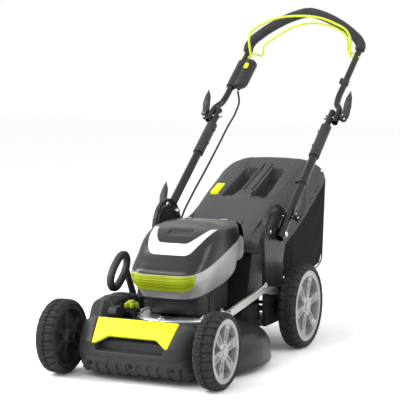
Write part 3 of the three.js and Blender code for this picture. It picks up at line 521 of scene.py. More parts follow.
def plate(outline, low, high, plane="x"):
    """A flat outline given thickness from low to high along x (outline in y, z) or z."""
    flat = np.asarray(outline, float)
    grids = []
    for level in (low, high):
        depth = np.full((len(flat), 1), float(level))
        grids.append(np.hstack([depth, flat]) if plane == "x" else np.hstack([flat, depth]))
    return skin(np.stack(grids), wrap_columns=True, ends=True)


def step(value, edge, soft):
    """0 below the edge, 1 above it, with a smooth ramp of half width soft between."""
    t = np.clip((value - edge) / (2 * soft) + 0.5, 0, 1)
    return t * t * (3 - 2 * t)


def repaint(material, *names):
    """Give engineering nodes that stay in sight a finish."""
    for name in names:
        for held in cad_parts[name].material_slots:
            held.material = material


print("shape helpers ready")
# %% [markdown]
# ## Wheels
# A tyre is moulded rubber with two rows of blocks. The rows are half a block out of step and
# meet at a zigzag groove. The tread is one formula: how deep the rubber is cut at an angle
# round the wheel and a place across it.

# %% Tread formula
BLOCKS = 28
GROOVE_MM = 4.2
MM_PER_ACROSS = 20


def tread_depth(angle, across):
    """Depth in mm: a gap between blocks, a zigzag between the two rows, and a thin cut
    in each block. across runs from -1 to 1 over the tread, and beyond it on the shoulders."""
    turn_part = angle / (2 * PI) * BLOCKS
    phase = turn_part + np.where(across > 0, 0.5, 0.0) + 0.14 * np.abs(across)
    from_gap = np.abs(phase - np.round(phase))
    gap = 1 - step(from_gap, 0.15, 0.04)
    saw = 4 * np.abs(turn_part - np.floor(turn_part) - 0.5) - 1
    zigzag = 1 - step(np.abs(across - 0.17 * saw), 0.1, 0.035)
    cut = (1 - step(0.5 - from_gap, 0.06, 0.025)) * step(np.abs(across), 0.35, 0.05)
    cut = cut * (1 - step(np.abs(across), 0.8, 0.05)) * 0.45
    fade = 1 - step(np.abs(across), 1.2, 0.04)
    return GROOVE_MM * np.maximum(np.maximum(gap, cut) * fade, zigzag)


def tyre(name, node_name, radius, rim, width, side, y, body):
    """Profile (across, radius, x) eased into a curve, turned about the axle, and cut by the
    tread along the profile's own normal."""
    across = np.array([-1.5, -1.36, -1.2, -0.97, -0.6, 0, 0.6, 0.97, 1.2, 1.36, 1.5])
    share = np.array([0.05, 0.0, 0.02, 0.14, 0.3, 0.5, 0.7, 0.86, 0.98, 1.0, 0.95])
    drop = radius - rim
    height = radius - np.array([drop, drop - 6, 9, 1.8, 0.4, 0, 0.4, 1.8, 9, drop - 6, drop])
    profile = eased(np.stack([across * MM_PER_ACROSS, share * width, height], 1), 53)
    t = profile[:, :1] / MM_PER_ACROSS
    angle = np.linspace(0, 2 * PI, BLOCKS * 12, endpoint=False)[None]
    lean = np.clip((np.abs(t) - 0.8) / 0.5, 0, 1) * math.radians(70) * np.sign(t)
    depth = tread_depth(angle, t)
    r = profile[:, 2:3] - depth * np.cos(lean)
    x = side * (WHEEL_IN + profile[:, 1:2] - depth * np.sin(lean))
    grid = np.stack([x, y + r * np.cos(angle), radius + r * np.sin(angle)], -1)
    return piece(name, skin(grid, True, True), tyre_rubber, body, (node_name,), crease=30)


print("tread is", GROOVE_MM, "mm deep, with", BLOCKS, "blocks in a row")

# %% [markdown]
# The silver cover has a broad ring, six spokes made of two bars with a sunk web between,
# and a round hub. Behind it is a plain black core with six webs. Each is a height field on
# a round grid: radius and angle in, depth out. A ring of darker grey lines the floor of
# the cover as painted shade, where little light reaches between the spokes.

# %% Wheel faces
SPOKES = 6


def spoke_offset(radius, angle, first):
    """Distance in mm from the middle line of the nearest spoke."""
    pitch = 2 * PI / SPOKES
    bent = (angle - first + pitch / 2) % pitch - pitch / 2
    return radius * np.sin(bent)


def cover_depth(radius, angle, rim, deep):
    """0 on the ring; spokes 3 mm in with a web 9 mm in; hub 2 mm in; the rest deep."""
    off = np.abs(spoke_offset(radius, angle, math.radians(12)))
    part = radius / rim
    half = 8.5 + 8.5 * part
    on_spoke = 1 - step(off, half, 0.9)
    web = (1 - step(off, half - 5.0, 0.9)) * (1 - step(part, 0.7, 0.015)) * step(part, 0.34, 0.015)
    spoke = 3 + 3 * (1 - part) + 6 * web
    depth = deep + (spoke - deep) * on_spoke
    hub = 1 - step(part, 0.27, 0.012)
    cap = 1 - step(part, 0.17, 0.012)
    depth = depth + (2.5 - depth) * hub + 1.5 * cap
    ring = step(part, 0.82, 0.012)
    lip = 1.2 * (1 - step(np.abs(part - 0.9), 0.05, 0.012))
    return depth + (lip - depth) * ring


def core_depth(radius, angle, rim, deep):
    """0 on the barrel's edge; flat webs 8 mm in; a stepped hub standing 4 mm proud."""
    off = np.abs(spoke_offset(radius, angle, math.radians(28)))
    part = radius / rim
    web = 1 - step(off, 5.5 + 3 * part, 0.8)
    depth = deep + (8 - deep) * web
    hub = 1 - step(radius, 25, 0.8)
    inner = 1 - step(radius, 18, 0.8)
    depth = depth + (3 - depth) * hub - 6 * inner
    ring = step(part, 0.9, 0.012)
    return depth * (1 - ring)


def wheel_face(name, depth_of, rim, deep, face, back, y, z, material, body, stands_for=()):
    """A round slab whose face is cut by depth_of; face and back are x values."""
    inward = math.copysign(1, back - face)
    radius = np.linspace(7.0, rim, 64)[:, None]
    angle = np.linspace(0, 2 * PI, 240, endpoint=False)[None]
    depth = depth_of(radius, angle, rim, deep)
    rows = np.broadcast_to(radius, depth.shape)
    grid = np.stack([face + inward * depth, y + rows * np.cos(angle), z + rows * np.sin(angle)], -1)
    rear = grid.copy()
    rear[..., 0] = back
    return piece(name, walled(grid, rear, True), material, body, stands_for, crease=30)


for place, side, y, radius, width, rim in (
    ("front_left", 1, 0.0, FRONT_R, 58, FRONT_R - 17.4),
    ("front_right", -1, 0.0, FRONT_R, 58, FRONT_R - 17.4),
    ("rear_left", 1, REAR_Y, REAR_R, 56, REAR_R - 20),
    ("rear_right", -1, REAR_Y, REAR_R, 56, REAR_R - 20),
):
    body = "wheel_" + place
    tyre("tread_" + place, "tyre_" + place, radius, rim, width, side, y, body)
    x_out = side * (WHEEL_IN + width * 0.93)
    x_mid = side * (WHEEL_IN + width * 0.5)
    x_in = side * (WHEEL_IN + width * 0.06)
    cover = wheel_face(
        "wheel_cover_" + place,
        cover_depth,
        rim - 0.4,
        width * 0.4,
        x_out,
        x_mid,
        y,
        radius,
        wheel_silver,
        body,
        ("wheel_core_" + place,),
    )
    floor_x = x_out - side * (width * 0.4 - 0.8)
    under_x = floor_x - side * 1.5
    # A flat ring in a darker grey lies on the cover's floor: painted shade where little light reaches
    # between the spokes.
    near, far = rim * 0.28, rim * 0.81
    ring_line = [[near, under_x], [far, under_x], [far, floor_x], [near, floor_x]]
    recess = turned(ring_line, 96, "x", (0, y, radius))
    piece("wheel_recess_shade_" + place, recess, wheel_shade, body)
    back = wheel_face(
        "wheel_back_" + place,
        core_depth,
        rim - 0.4,
        width * 0.38,
        x_in,
        x_mid - side * 0.3,
        y,
        radius,
        moulded_black,
        body,
    )
    cap_in, cap_edge, cap_top = (x_out - side * depth for depth in (6, 1.2, 0.6))
    cap_line = rounded([[0.01, cap_in], [13, cap_in], [13, cap_edge], [0.01, cap_top]], 1.2)
    cap = turned(cap_line, 40, "x", (0, y, radius))
    piece("hub_cap_" + place, cap, wheel_silver, body)

# %% [markdown]
# The axles are bent steel with cranks that set the cutting height. A flat brushed steel
# link joins them on the left, with a stiff spring wire lying along its top.

# %% Axles, height link and its wire
repaint(plate_black, "front_axle", "rear_axle", "drive_gearbox")
repaint(brushed_steel, "height_link")
link_line = eased([[150, 168, 181], [260, 182, 196], [345, 196, 207], [396, 204, 217]], 40)
wire_path = np.stack([np.full(40, 206.0), link_line[:, 0], link_line[:, 2]], 1)
hook = eased([[206, 396, 217], [206, 406, 222], [205, 414, 219], [203, 415, 211], [202, 408, 207]], 20)
wire_shell = joined(swept(wire_path, 3.2, 14, (1, 0, 0)), swept(hook, 2.0, 12, (1, 0, 0)))
wire = piece("link_wire", wire_shell, zinc_steel, "link")
rivet_line = rounded([[0.01, 203.4], [9, 203.4], [9, 207], [6, 209.5], [0.01, 210]], 0.8)
for label, y, z in (("front", 46.96, 136.7), ("rear", 655.96, 160.3)):
    head = turned(rivet_line, 24, "x", (0, y, z))
    piece("link_rivet_" + label, head, zinc_steel, label + "_crank")
print("link wire is", round(float(np.linalg.norm(np.diff(wire_path, axis=0), axis=1).sum())), "mm long")

# %% [markdown]
# ## Cutting deck
# The deck is a round plastic bowl over the blade, with a chute rising to the grass box. The
# bowl's wall is one closed profile turned about the motor's axis.

# %% Deck bowl, chute and rails
DECK_Y = 255.0
OUTSIDE_R = [262.5, 264.5, 264.5, 262.6, 262.5, 252, 228, 190, 134]
OUTSIDE_Z = [17, 17, 23.5, 26, 62, 84, 100, 112, 131.5]
INSIDE_R = [100, 100, 133, 188, 226, 249, 258.5, 258.5]
INSIDE_Z = [131.5, 127.5, 127.5, 108, 96.5, 81, 61, 17]
outside = rounded(np.column_stack([OUTSIDE_R, OUTSIDE_Z]), 7, 6, closed=False)
inside = rounded(np.column_stack([INSIDE_R, INSIDE_Z]), 5, 5, closed=False)
bowl = turned(np.concatenate([outside, inside]), 160, "z", (0, DECK_Y, 0))
top_line = np.array([[400, 100], [430, 110], [468, 200], [492, 292], [545, 352], [622, 388]], float)
low_line = np.array([[496, 74], [504, 86], [522, 112], [622, 236]], float)


def curved_panel(line, half, drop, count=40):
    """A curved sheet: a smooth line in y, z carried from -half to half, drop mm thick."""
    run = eased(np.column_stack([np.zeros(len(line)), line]), count)
    ahead = np.gradient(run, axis=0)
    ahead = ahead / np.linalg.norm(ahead, axis=1, keepdims=True)
    normal = np.stack([ahead[:, 0] * 0, -ahead[:, 2], ahead[:, 1]], 1)
    across = np.linspace(-half, half, 9)[None, :, None] * np.array([1.0, 0, 0])
    outer = run[:, None] + across
    return walled(outer, outer - drop * normal[:, None])


side_outline = np.concatenate([top_line, low_line[::-1]])
chute = joined(
    curved_panel(top_line, 122, 4),
    curved_panel(low_line, 122, -4),
    plate(rounded(side_outline, 14), 120, 124),
    plate(rounded(side_outline, 14), -124, -120),
)
deck = piece("deck_bowl", joined(bowl, chute), deck_black, "root", ("deck_shell",), crease=32)
rails = []
rear_rail = rounded([[420, 86], [560, 86], [560, 106], [440, 106]], 4)
front_rail = rounded([[12, 52], [60, 52], [60, 90], [12, 90]], 6)
for side in (-1, 1):
    rails.append(plate(rear_rail, side * 120.5, side * 173.4))
    rails.append(plate(front_rail, side * 122, side * 146))
rails.append(plate(rounded([[4, 52], [44, 52], [44, 58], [4, 58]], 2), -174, 174))
rails.append(plate(rounded([[334, 80], [370, 80], [366, 150], [352, 166], [338, 150]], 6), -187, -175))
rails.append(rod((-180, 352, 150), (-203, 352, 150), 6))
piece("deck_rails", joined(*rails), deck_black, "root", bevel=1.2)
print("deck bowl is", 2 * max(OUTSIDE_R), "mm across its rim")

# %% [markdown]
# Ribs and a raised collar break up the top of the deck behind the motor, where the moulding
# is stiffened to carry the handle.

# %% Deck ribs and collars
MOTOR_Y = 262
collar = rounded([[128, 126], [146, 124], [146, 132], [140, 137], [128, 137]], 3)
low_rib = rounded([[392, 96], [470, 96], [470, 150], [430, 150], [404, 128]], 12)
high_rib = rounded([[440, 96], [520, 96], [520, 176], [470, 170]], 14)
parts = [turned(collar, 96, "z", (0, MOTOR_Y, 0))]
for side in (-1, 1):
    parts.append(plate(low_rib, side * 128, side * 160))
    parts.append(plate(high_rib, side * 127, side * 136))
    for y in (96, 148):
        parts.append(rod((side * 188, y, 92), (side * 188, y, 112), 11))
piece("deck_ribs", joined(*parts), deck_black, "root", bevel=1.5)
print("deck pieces made")

# %% [markdown]
# ## Front bumper and grip
# The bumper is one moulding. Its face is a height field over width and height: a nose, a
# crease, arch-topped flutes along the bottom with teeth between them, three screw holes, and
# a dark slot for the fingers under the yellow grip.


# %% Bumper face
BUMPER_HALF = 182.0
FLUTE_PITCH = 31.0


def bumper_y(x, z):
    """Nose line over height, corners swept back by the 7th power of the width, less cuts."""
    nose = np.interp(z, [15, 38, 72, 75, 106, 150, 163], [-24, -50, -57, -60, -53, -14, 0])
    bend = np.abs(x / BUMPER_HALF) ** 7 * np.minimum(58, 16 - nose)
    up = np.clip((z - 104) / 60, 0, 1.2) * 82.8
    plate_y = -50 + (z - 104) * 57 / 60
    low_line = np.interp(np.abs(x), [0, 70, 108, 200], [26, 26, -1, -1])
    seat = step(up, low_line, 1.2) * (z > 103) * (1 - step(np.abs(x), 116 + 0.12 * up, 1.2))
    ends = step(np.abs(x), 150, 4)
    crease = 3.6 * (1 - step(z, 74 - 20 * ends, 0.9))
    u = (x - FLUTE_PITCH * np.round(x / FLUTE_PITCH)) / 12.6
    arch = np.sqrt(u**2 + np.maximum(0, (z - 44) / 12) ** 2)
    flute = (1 - step(arch, 0.93, 0.09)) * (1 - step(np.abs(x), 150, 3))
    hole_x = np.minimum(np.abs(x), np.minimum(np.abs(x - 124), np.abs(x + 124)))
    hole = 1 - step(np.hypot(hole_x, z - 46), 4.6, 0.8)
    window = (1 - step(np.abs(x), 104 - 0.3 * np.abs(z - 104), 2)) * step(z, 87, 1.6)
    window = window * (1 - step(z, 131, 2))
    lip = 1.5 * (1 - step(np.abs(z - 84), 3, 1)) * (1 - step(np.abs(x), 108, 3))
    made = nose + bend + crease + 5.5 * flute + 6 * hole + 30 * window - lip
    return made + (np.maximum(made, plate_y + 7) - made) * seat


height = np.concatenate([np.linspace(15, 60, 40), np.linspace(61.5, 163, 68)])[:, None]
corner = np.clip((height - 96) / 68, 0, 0.99)
half = BUMPER_HALF - 46 * (1 - np.sqrt(1 - corner**2))
x = half * np.sin(np.linspace(-1, 1, 261)[None] * PI / 2)
z = np.broadcast_to(height, x.shape)
face = np.stack([x, bumper_y(x, z), z], -1)
scallop = np.clip(np.abs(x / FLUTE_PITCH - np.round(x / FLUTE_PITCH)) * 2, 0, 1) ** 3
z = z + 9 * scallop * (1 - step(z, 21, 6))
face[..., 2] = z
back = np.stack([x, np.full(x.shape, 21.0), z], -1)
face[..., 1] = np.minimum(face[..., 1], 20.0)
bumper = piece("bumper_moulding", walled(face, back), moulded_black, "root", ("bumper",), crease=28)
print("bumper is", 2 * BUMPER_HALF, "mm wide, with a flute every", FLUTE_PITCH, "mm")

# %% [markdown]
# The grip is a sloping plate of yellow nylon, straight along its top, with a raised middle
# along its lower edge.

# %% Lifting grip
outline = np.array([[124, 82.8], [114, 0], [108, -1], [72, 26]], float)
outline = np.concatenate([outline, (outline * [-1, 1])[::-1]])
outline = rounded(outline, 5, 6)
slope = np.array([57.0, 60.0]) / math.hypot(57, 60)
layers = []
for inset, out in ((1.6, -4.5), (0, -3), (0, 1.4), (0.7, 2.5), (1.8, 3.0)):
    middle = outline - [0, 45]
    pulled = middle - np.sign(middle) * inset + [0, 45]
    layers.append(
        np.stack(
            [
                pulled[:, 0],
                -50 + pulled[:, 1] * slope[0] - out * slope[1],
                104 + pulled[:, 1] * slope[1] + out * slope[0],
            ],
            -1,
        )
    )
grip_shell = skin(np.stack(layers), wrap_columns=True, ends=True)
grip = piece("grip_plate", grip_shell, grip_yellow, "root", ("front_grip",))
print("grip is", round(float(np.ptp(outline[:, 0]))), "mm wide")

# %% [markdown]
# ## Motor and blade
# The motor stands on a bright die-cast ring with six bolt lugs. Below it hang the adapter
# and the blade, which stay as the engineering model has them.

# %% Motor ring and blade
RING_R = [66, 124, 131, 131, 123, 112, 110, 66]
RING_Z = [132, 132, 135.5, 141, 146, 146, 143, 143]
ring_profile = rounded(np.column_stack([RING_R, RING_Z]), 1.8)
lug = rounded([[0.01, 133], [12, 133], [11, 147], [8, 149], [0.01, 149]], 1.2)
LUGS = 6
LUG_CIRCLE = 119
parts = [turned(ring_profile, 120, "z", (0, MOTOR_Y, 0))]
bolts = []
for k in range(LUGS):
    a = 2 * PI * (k + 0.5) / LUGS
    x, y = LUG_CIRCLE * math.cos(a), MOTOR_Y + LUG_CIRCLE * math.sin(a)
    parts.append(turned(lug, 28, "z", (x, y, 0)))
    bolts.append(rod((x, y, 148.5), (x, y, 153.5), 5.2, 6, 0.6))
motor_ring = piece("motor_ring", joined(*parts), cast_aluminium, "root", ("motor_flange",))
piece("motor_ring_bolts", joined(*bolts), zinc_steel, "root")
repaint(plate_black, "motor_case")
repaint(zinc_steel, "motor_shaft", "blade_bolt")
repaint(cast_aluminium, "blade_adapter")
repaint(brushed_steel, "blade")
print("motor ring has", LUGS, "lugs")

# %% [markdown]
# ## Motor housing
# The hood over the motor and batteries is a rounded box whose front leans back. Its outline
# at each height is an oval with flattened sides (a superellipse), and the front, back and
# width follow a few stations. Silver cover, dark lid and vents are all parts of this one
# form, cut by sloping lines, so one function gives them all.

# %% The hood's form
HOOD = np.array(
    [
        [190, 168, 440, 96],
        [224, 151, 448, 108],
        [255, 136, 454, 117],
        [275, 139, 457, 120],
        [292, 156, 459, 121],
        [317, 184, 460, 121],
        [350, 217, 460, 120],
        [378, 268, 458, 115],
        [392, 345, 452, 102],
    ],
    float,
)
HOOD_FINE = eased(HOOD, 160)


def hood_at(z, out=0.0):
    """Front, back and half width of the hood at height z, grown by out."""
    front, rear, wide = (np.interp(z, HOOD_FINE[:, 0], HOOD_FINE[:, k]) for k in (1, 2, 3))
    return front - out, rear + out, wide + out


def hood_point(angle, z, out=0.0, power=4.5):
    """x = w |cos|^(2/p), y = middle + depth |sin|^(2/p): the superellipse at height z."""
    front, rear, wide = hood_at(z, out)
    cos, sin = np.cos(angle), np.sin(angle)
    x = wide * np.sign(cos) * np.abs(cos) ** (2 / power)
    y = (front + rear) / 2 + (rear - front) / 2 * np.sign(sin) * np.abs(sin) ** (2 / power)
    return np.stack([x, y, np.broadcast_to(z, x.shape)], -1)


def hood_front(x, z, out=0.0, power=4.5):
    """The same surface over width and height, for things that lie on its front."""
    front, rear, wide = hood_at(z, out)
    share = np.clip(np.abs(x) / wide, 0, 0.9999) ** power
    y = (front + rear) / 2 - (rear - front) / 2 * (1 - share) ** (1 / power)
    return np.stack(np.broadcast_arrays(x, y, z), -1)


def meeting(angle, line_y, line_z, out=0.0):
    """Height at which the hood meets a sloping line, for each angle, by repeated guesses."""
    z = np.full(angle.shape, float(np.mean(line_z)))
    for _ in range(40):
        y = hood_point(angle, z, out)[..., 1]
        z = 0.5 * z + 0.5 * np.interp(y, line_y, line_z)
    return z


OVAL = 2 / 4.5
AROUND = spaced(120, 150, OVAL, OVAL, 0, 2 * PI, 361)[:-1]
SEAM_Y, SEAM_Z = [0, 140, 450, 600], [231.7, 271, 358, 400.1]
SKIRT_Y, SKIRT_Z = [0, 160, 340, 440, 600], [176.9, 200, 226, 262, 319.6]
print("hood is", round(2 * float(HOOD[:, 3].max())), "mm wide")

# %% [markdown]
# The lid rises from the seam to a gently crowned top. It carries a pressed finger recess
# and stops at a straight line in front of the hinge.

# %% Battery lid
LID_REAR = 437.0
HOOD_TOP = 392.0


def hood_top(out):
    """Wall rows from the seam to the top, then rings that shrink to the middle of the crown."""
    base = meeting(AROUND, SEAM_Y, SEAM_Z, out)[None] + 0.6
    t = np.linspace(0, 1, 60)[:, None]
    wall = hood_point(AROUND[None] + 0 * t, base + (HOOD_TOP - base) * t, out)
    cut = (1 - step(np.abs(wall[..., 0]), 37, 3.0)) * step(wall[..., 2], 370.5, 1.0)
    cut = cut * (1 - step(wall[..., 2], 382, 3.5)) * (wall[..., 1] < 330)
    wall[..., 1] += 5.0 * cut
    wall[..., 2] -= 3.0 * cut
    shrink = np.linspace(0.97, 0.0, 14)[:, None]
    top = hood_point(AROUND[None] + 0 * shrink, np.full((14, 1), HOOD_TOP), out)
    middle = np.array([0.0, 392.0])
    top[..., :2] = middle + (top[..., :2] - middle) * shrink[..., None]
    top[..., 2] += (4.5 + out) * (1 - shrink**2)
    return np.concatenate([wall, top])


def lid_sheet(out, rear):
    """The hood's top kept in front of a line across it at rear."""
    rows = hood_top(out)
    rows[..., 1] = np.minimum(rows[..., 1], rear)
    return rows


lid_shell = walled(lid_sheet(0, LID_REAR), lid_sheet(-3.5, LID_REAR - 3), True)
lid = piece("lid_shell", lid_shell, gloss_grey, "lid", ("battery_lid",), crease=40)
print("lid ends", LID_REAR, "mm behind the front axle")

# %% [markdown]
# A white foil strip bends round the finger recess in a U. It lies half a millimetre proud of
# the lid, between an outer and an inner line given by width and height.

# %% White strip
outer_line = rounded([[-99, 384], [-78, 344], [-60, 320], [60, 320], [78, 344], [99, 384]], 16, 9, False)
inner_line = rounded([[-83, 384], [-60, 362], [-44, 350], [44, 350], [60, 362], [83, 384]], 10, 9, False)


def even(line, count):
    """The same line with evenly spaced points."""
    run = np.concatenate([[0], np.cumsum(np.linalg.norm(np.diff(line, axis=0), axis=1))])
    at = np.linspace(0, run[-1], count)
    return np.stack([np.interp(at, run, line[:, 0]), np.interp(at, run, line[:, 1])], -1)


share = np.linspace(0, 1, 9)[:, None, None]
band = even(outer_line, 120)[None] * (1 - share) + even(inner_line, 120)[None] * share
strip = walled(*(hood_front(band[..., 0], band[..., 1], out) for out in (0.7, -0.4)))
piece("lid_strip", strip, strip_white, "lid")
print("strip is", round(float(np.ptp(outer_line[:, 0]))), "mm wide")

# %% [markdown]
# Below the seam the cover is silver. A facet along its side steps in by 4 mm below a line
# that climbs towards the back.


# %% Silver cover
def cover_sheet(out):
    """Rows between the skirt line and the seam; below the facet line the wall steps in."""
    low = meeting(AROUND, SKIRT_Y, SKIRT_Z, out)[None]
    high = meeting(AROUND, SEAM_Y, SEAM_Z, out)[None] - 0.6
    t = np.linspace(0, 1, 56)[:, None]
    z = low + (high - low) * t
    grid = hood_point(AROUND[None] + 0 * t, z, out)
    facet = np.interp(grid[..., 1], [150, 284, 340, 378, 405], [214, 246, 274, 308, 352])
    inset = (1 - step(z, facet, 1.2)) * step(np.abs(grid[..., 0]), 80, 8)
    grid[..., 0] -= np.sign(grid[..., 0]) * 4.2 * inset
    edge = 1 - step(z, low + 5, 1)
    grid[..., 0] -= np.sign(grid[..., 0]) * 1.2 * edge
    return grid


cover_shell = walled(cover_sheet(0), cover_sheet(-3.5), True)
cover = piece("silver_cover", cover_shell, silver_paint, "root", ("housing_cover",), crease=24)
print("cover has", len(cover.data.polygons), "faces")

# %% [markdown]
# The hinge band closes the hood behind the lid. It is the same form, kept behind the line.


# %% Hinge band
BAND_GAP = 1.4


def band_sheet(out, front):
    """The hood's top kept behind a line across it at front."""
    rows = hood_top(out)
    rows[..., 1] = np.maximum(rows[..., 1], front)
    return rows


band_front = LID_REAR + BAND_GAP
band_shell = walled(band_sheet(0, band_front), band_sheet(-3, band_front + 3), True)
band_piece = piece("hinge_cap", band_shell, silver_paint, "root", ("hinge_band",), crease=34)
pins = [rod((x, 437.5, 396), (x + 22, 437.5, 396), 3.2, 20) for x in (-70, 48)]
piece("lid_hinge_pins", joined(*pins), dark_silver, "root")
print("the band starts", BAND_GAP, "mm behind the lid")

# %% [markdown]
# The vent is lime ABS: a rim round five thin slats that follow the curve of the hood.

# %% Vent grille
wide = np.linspace(-101, 101, 200)[None]
share = np.linspace(0, 1, 110)[:, None]
line_y = hood_front(wide, np.full(wide.shape, 262.0), 3)[..., 1]
high_edge = np.interp(line_y, SEAM_Y, SEAM_Z) - 0.6
round_by = np.clip((np.abs(wide) - 60) / 41, 0, 0.995)
low_edge = high_edge - (high_edge - 223) * (0.14 + 0.86 * np.sqrt(1 - round_by**2))
z = low_edge + (high_edge - low_edge) * share
rim = np.minimum(np.minimum(share * 46, (1 - share) * 60), (101 - np.abs(wide)) * 0.7)
slat = step(0.5 + 0.5 * np.cos(2 * PI * 4 * (share - 0.13) / 0.76), 0.42, 0.16)
raised = 3.2 - (2.7 - 2.2 * slat) * step(rim, 5.0, 0.5)
vent = walled(hood_front(wide + 0 * z, z, raised), hood_front(wide + 0 * z, z, 0.3))
piece("vent_slats", vent, lime_abs, "root", ("vent_grille",), crease=30)
print("vent stands", round(float(raised.max()), 1), "mm proud of the hood")

# %% [markdown]
# Under the silver skirt a dark base carries the hood on the motor ring. The two batteries
# stand side by side under the lid, each with a lime latch.


# %% Housing base and batteries
def base_sheet(grow):
    """A flat-sided oval at three heights, then one row that follows the skirt."""
    cos, sin = np.cos(AROUND), np.sin(AROUND)
    rows = []
    for z, front, rear, wide_at in ((146.6, 214, 420, 90), (150, 211, 424, 91), (200, 200, 430, 91.5)):
        x = (wide_at + grow) * np.sign(cos) * np.abs(cos) ** 0.4
        depth = (rear - front) / 2 + grow
        y = (front + rear) / 2 + depth * np.sign(sin) * np.abs(sin) ** 0.4
        rows.append(np.column_stack([x, y, np.full(len(AROUND), z)]))
    last = rows[-1].copy()
    last[:, 2] = np.interp(last[:, 1], SKIRT_Y, SKIRT_Z) + 2
    return np.stack(rows + [last])


base = walled(base_sheet(0), base_sheet(-4), True)
bands = [
    plate(rounded([[262, 146.8], [300, 146.8], [300, 205], [262, 200]], 4), side * 90.5, side * 93.5)
    for side in (-1, 1)
]
piece("hood_base", joined(base, *bands), moulded_black, "root", ("housing_base",))
for label, x in (("left", 45), ("right", -45)):
    pack = plate(rounded([[262, 238], [388, 238], [388, 330], [262, 330]], 8), x - 34.5, x + 34.5)
    tab = plate(rounded([[290, 329], [330, 329], [326, 333], [294, 333]], 1.5), x - 12, x + 12)
    case = piece("battery_case_" + label, pack, gloss_grey, "root", ("battery_" + label,), bevel=3)
    piece("battery_latch_" + label, tab, lime_abs, "root", bevel=0.8)
print("housing done")

# %% [markdown]
# ## Grass box
# The lid of the box is a long crowned shell. Across its width it is an arch, and along its
# length the crown climbs to the back. Two finger recesses leave a carrying bar between them,
# and everything else on it is a small change of height: two grooves along the bar, a foot
# for the thumb, rows of vent slots and a shallow break in slope.

# %% Cover of the grass box
BAG = np.array(
    [
        [643, 412.5, 301, 166],
        [700, 437, 330, 172],
        [800, 478, 384, 178],
        [890, 515, 436, 180],
        [945, 537, 468, 180],
        [978, 546, 484, 172],
        [992, 538, 489, 154],
    ],
    float,
)
BAG_FINE = eased(BAG, 200)


def bag_at(y):
    """Crown height, edge height and half width of the cover at y."""
    return tuple(np.interp(y, BAG_FINE[:, 0], BAG_FINE[:, k]) for k in (1, 2, 3))


def slot_rows(x, y):
    """1 inside the small vent slots: pairs in rows climbing the left shoulder."""
    pitch = 13.0
    u = (y - 716) / pitch
    v = (x - 118 + 0.04 * (y - 716)) / pitch
    inside = (y > 716) & (y < 850) & (x > 118) & (x < 157)
    across = np.abs(u - np.round(u))
    along = np.abs(v - np.floor(v) - 0.5)
    return inside * (1 - step(across, 0.22, 0.06)) * (1 - step(along, 0.38, 0.05))


def bag_sheet(out):
    """x = w |cos|^p and z = edge + rise |sin|^q, rounder to the back, then the details."""
    a = spaced(176, 90, 0.6, 0.72, 0, PI, 300)[None]
    spans = (np.linspace(643, 690, 20), np.linspace(692, 980, 190), np.linspace(981, 992, 10))
    y = np.concatenate(spans)[:, None]
    top, edge, wide_at = bag_at(y)
    power_x = np.interp(y, [643, 800, 960], [0.6, 0.6, 0.74])
    power_z = np.interp(y, [643, 800, 960], [0.72, 0.72, 0.82])
    x = (wide_at + out) * np.sign(np.cos(a)) * np.abs(np.cos(a)) ** power_x
    z = edge + (top + out - edge) * np.abs(np.sin(a)) ** power_z
    y = np.broadcast_to(y, x.shape).copy()
    in_y = step(y, 712, 3) * (1 - step(y, 921, 3))
    far = np.abs(x - 1)
    back_round = np.clip((y - 872) / 50, 0, 1)
    taper = 74 - 8 * np.clip((y - 760) / 160, 0, 1) - 26 * (1 - np.sqrt(1 - back_round**2))
    pocket = in_y * step(far, 26, 1.5) * (1 - step(far, taper, 3))
    floor_z = np.interp(y, [706, 720, 878, 925], [430, 404, 471, 545])
    z = z + (np.minimum(z, floor_z + 6) - z) * pocket
    grooves = (1 - step(np.abs(far - 13.5), 2.0, 0.6)) * step(y, 738, 2) * (1 - step(y, 925, 2))
    z = z - 7.0 * grooves
    oval = np.hypot((x - 1) / 68, (y - 716) / 27)
    foot = (1 - step(oval, 1.0, 0.025)) * (y < 716)
    rim = (1 - step(np.abs(oval - 1.0), 0.05, 0.02)) * (y < 716)
    pad = 1 - step(far - 0.25 * (724 - y), 25, 1.5)
    pad = pad * step(y, 697, 2.5) * (1 - step(y, 740, 10))
    z = z - 3.0 * rim + 0.8 * foot + 7.0 * pad
    panel = step(np.abs(x), 78, 2) * (1 - step(np.abs(x), 104 + 0.06 * (y - 716), 2))
    z = z + 1.6 * panel * step(y, 716, 1.5)
    shoulder = step(np.abs(x), 110, 3) * (1 - step(np.abs(x), 160, 3)) * (1 - step(y, 950, 8))
    z = z - 1.4 * shoulder
    z = z - 6.0 * slot_rows(x, y)
    skirt = 1 - step(z - edge, 6, 1)
    x = x + np.sign(x) * 1.4 * skirt
    return np.stack([x, y, z], -1)


dome_shell = walled(bag_sheet(0), bag_sheet(-3.5))
top_cover = piece("bag_dome", dome_shell, bag_grey, "grass_box", ("bag_cover",), crease=26)
print("cover of the grass box is", 2 * BAG[:, 3].max(), "mm wide")

# %% [markdown]
# Clips along the cover's side hold the fabric, a rivet sits at the back corner, and a yellow
# flag lifts when the box is full. A closed ring of square bar keeps the mouth open.

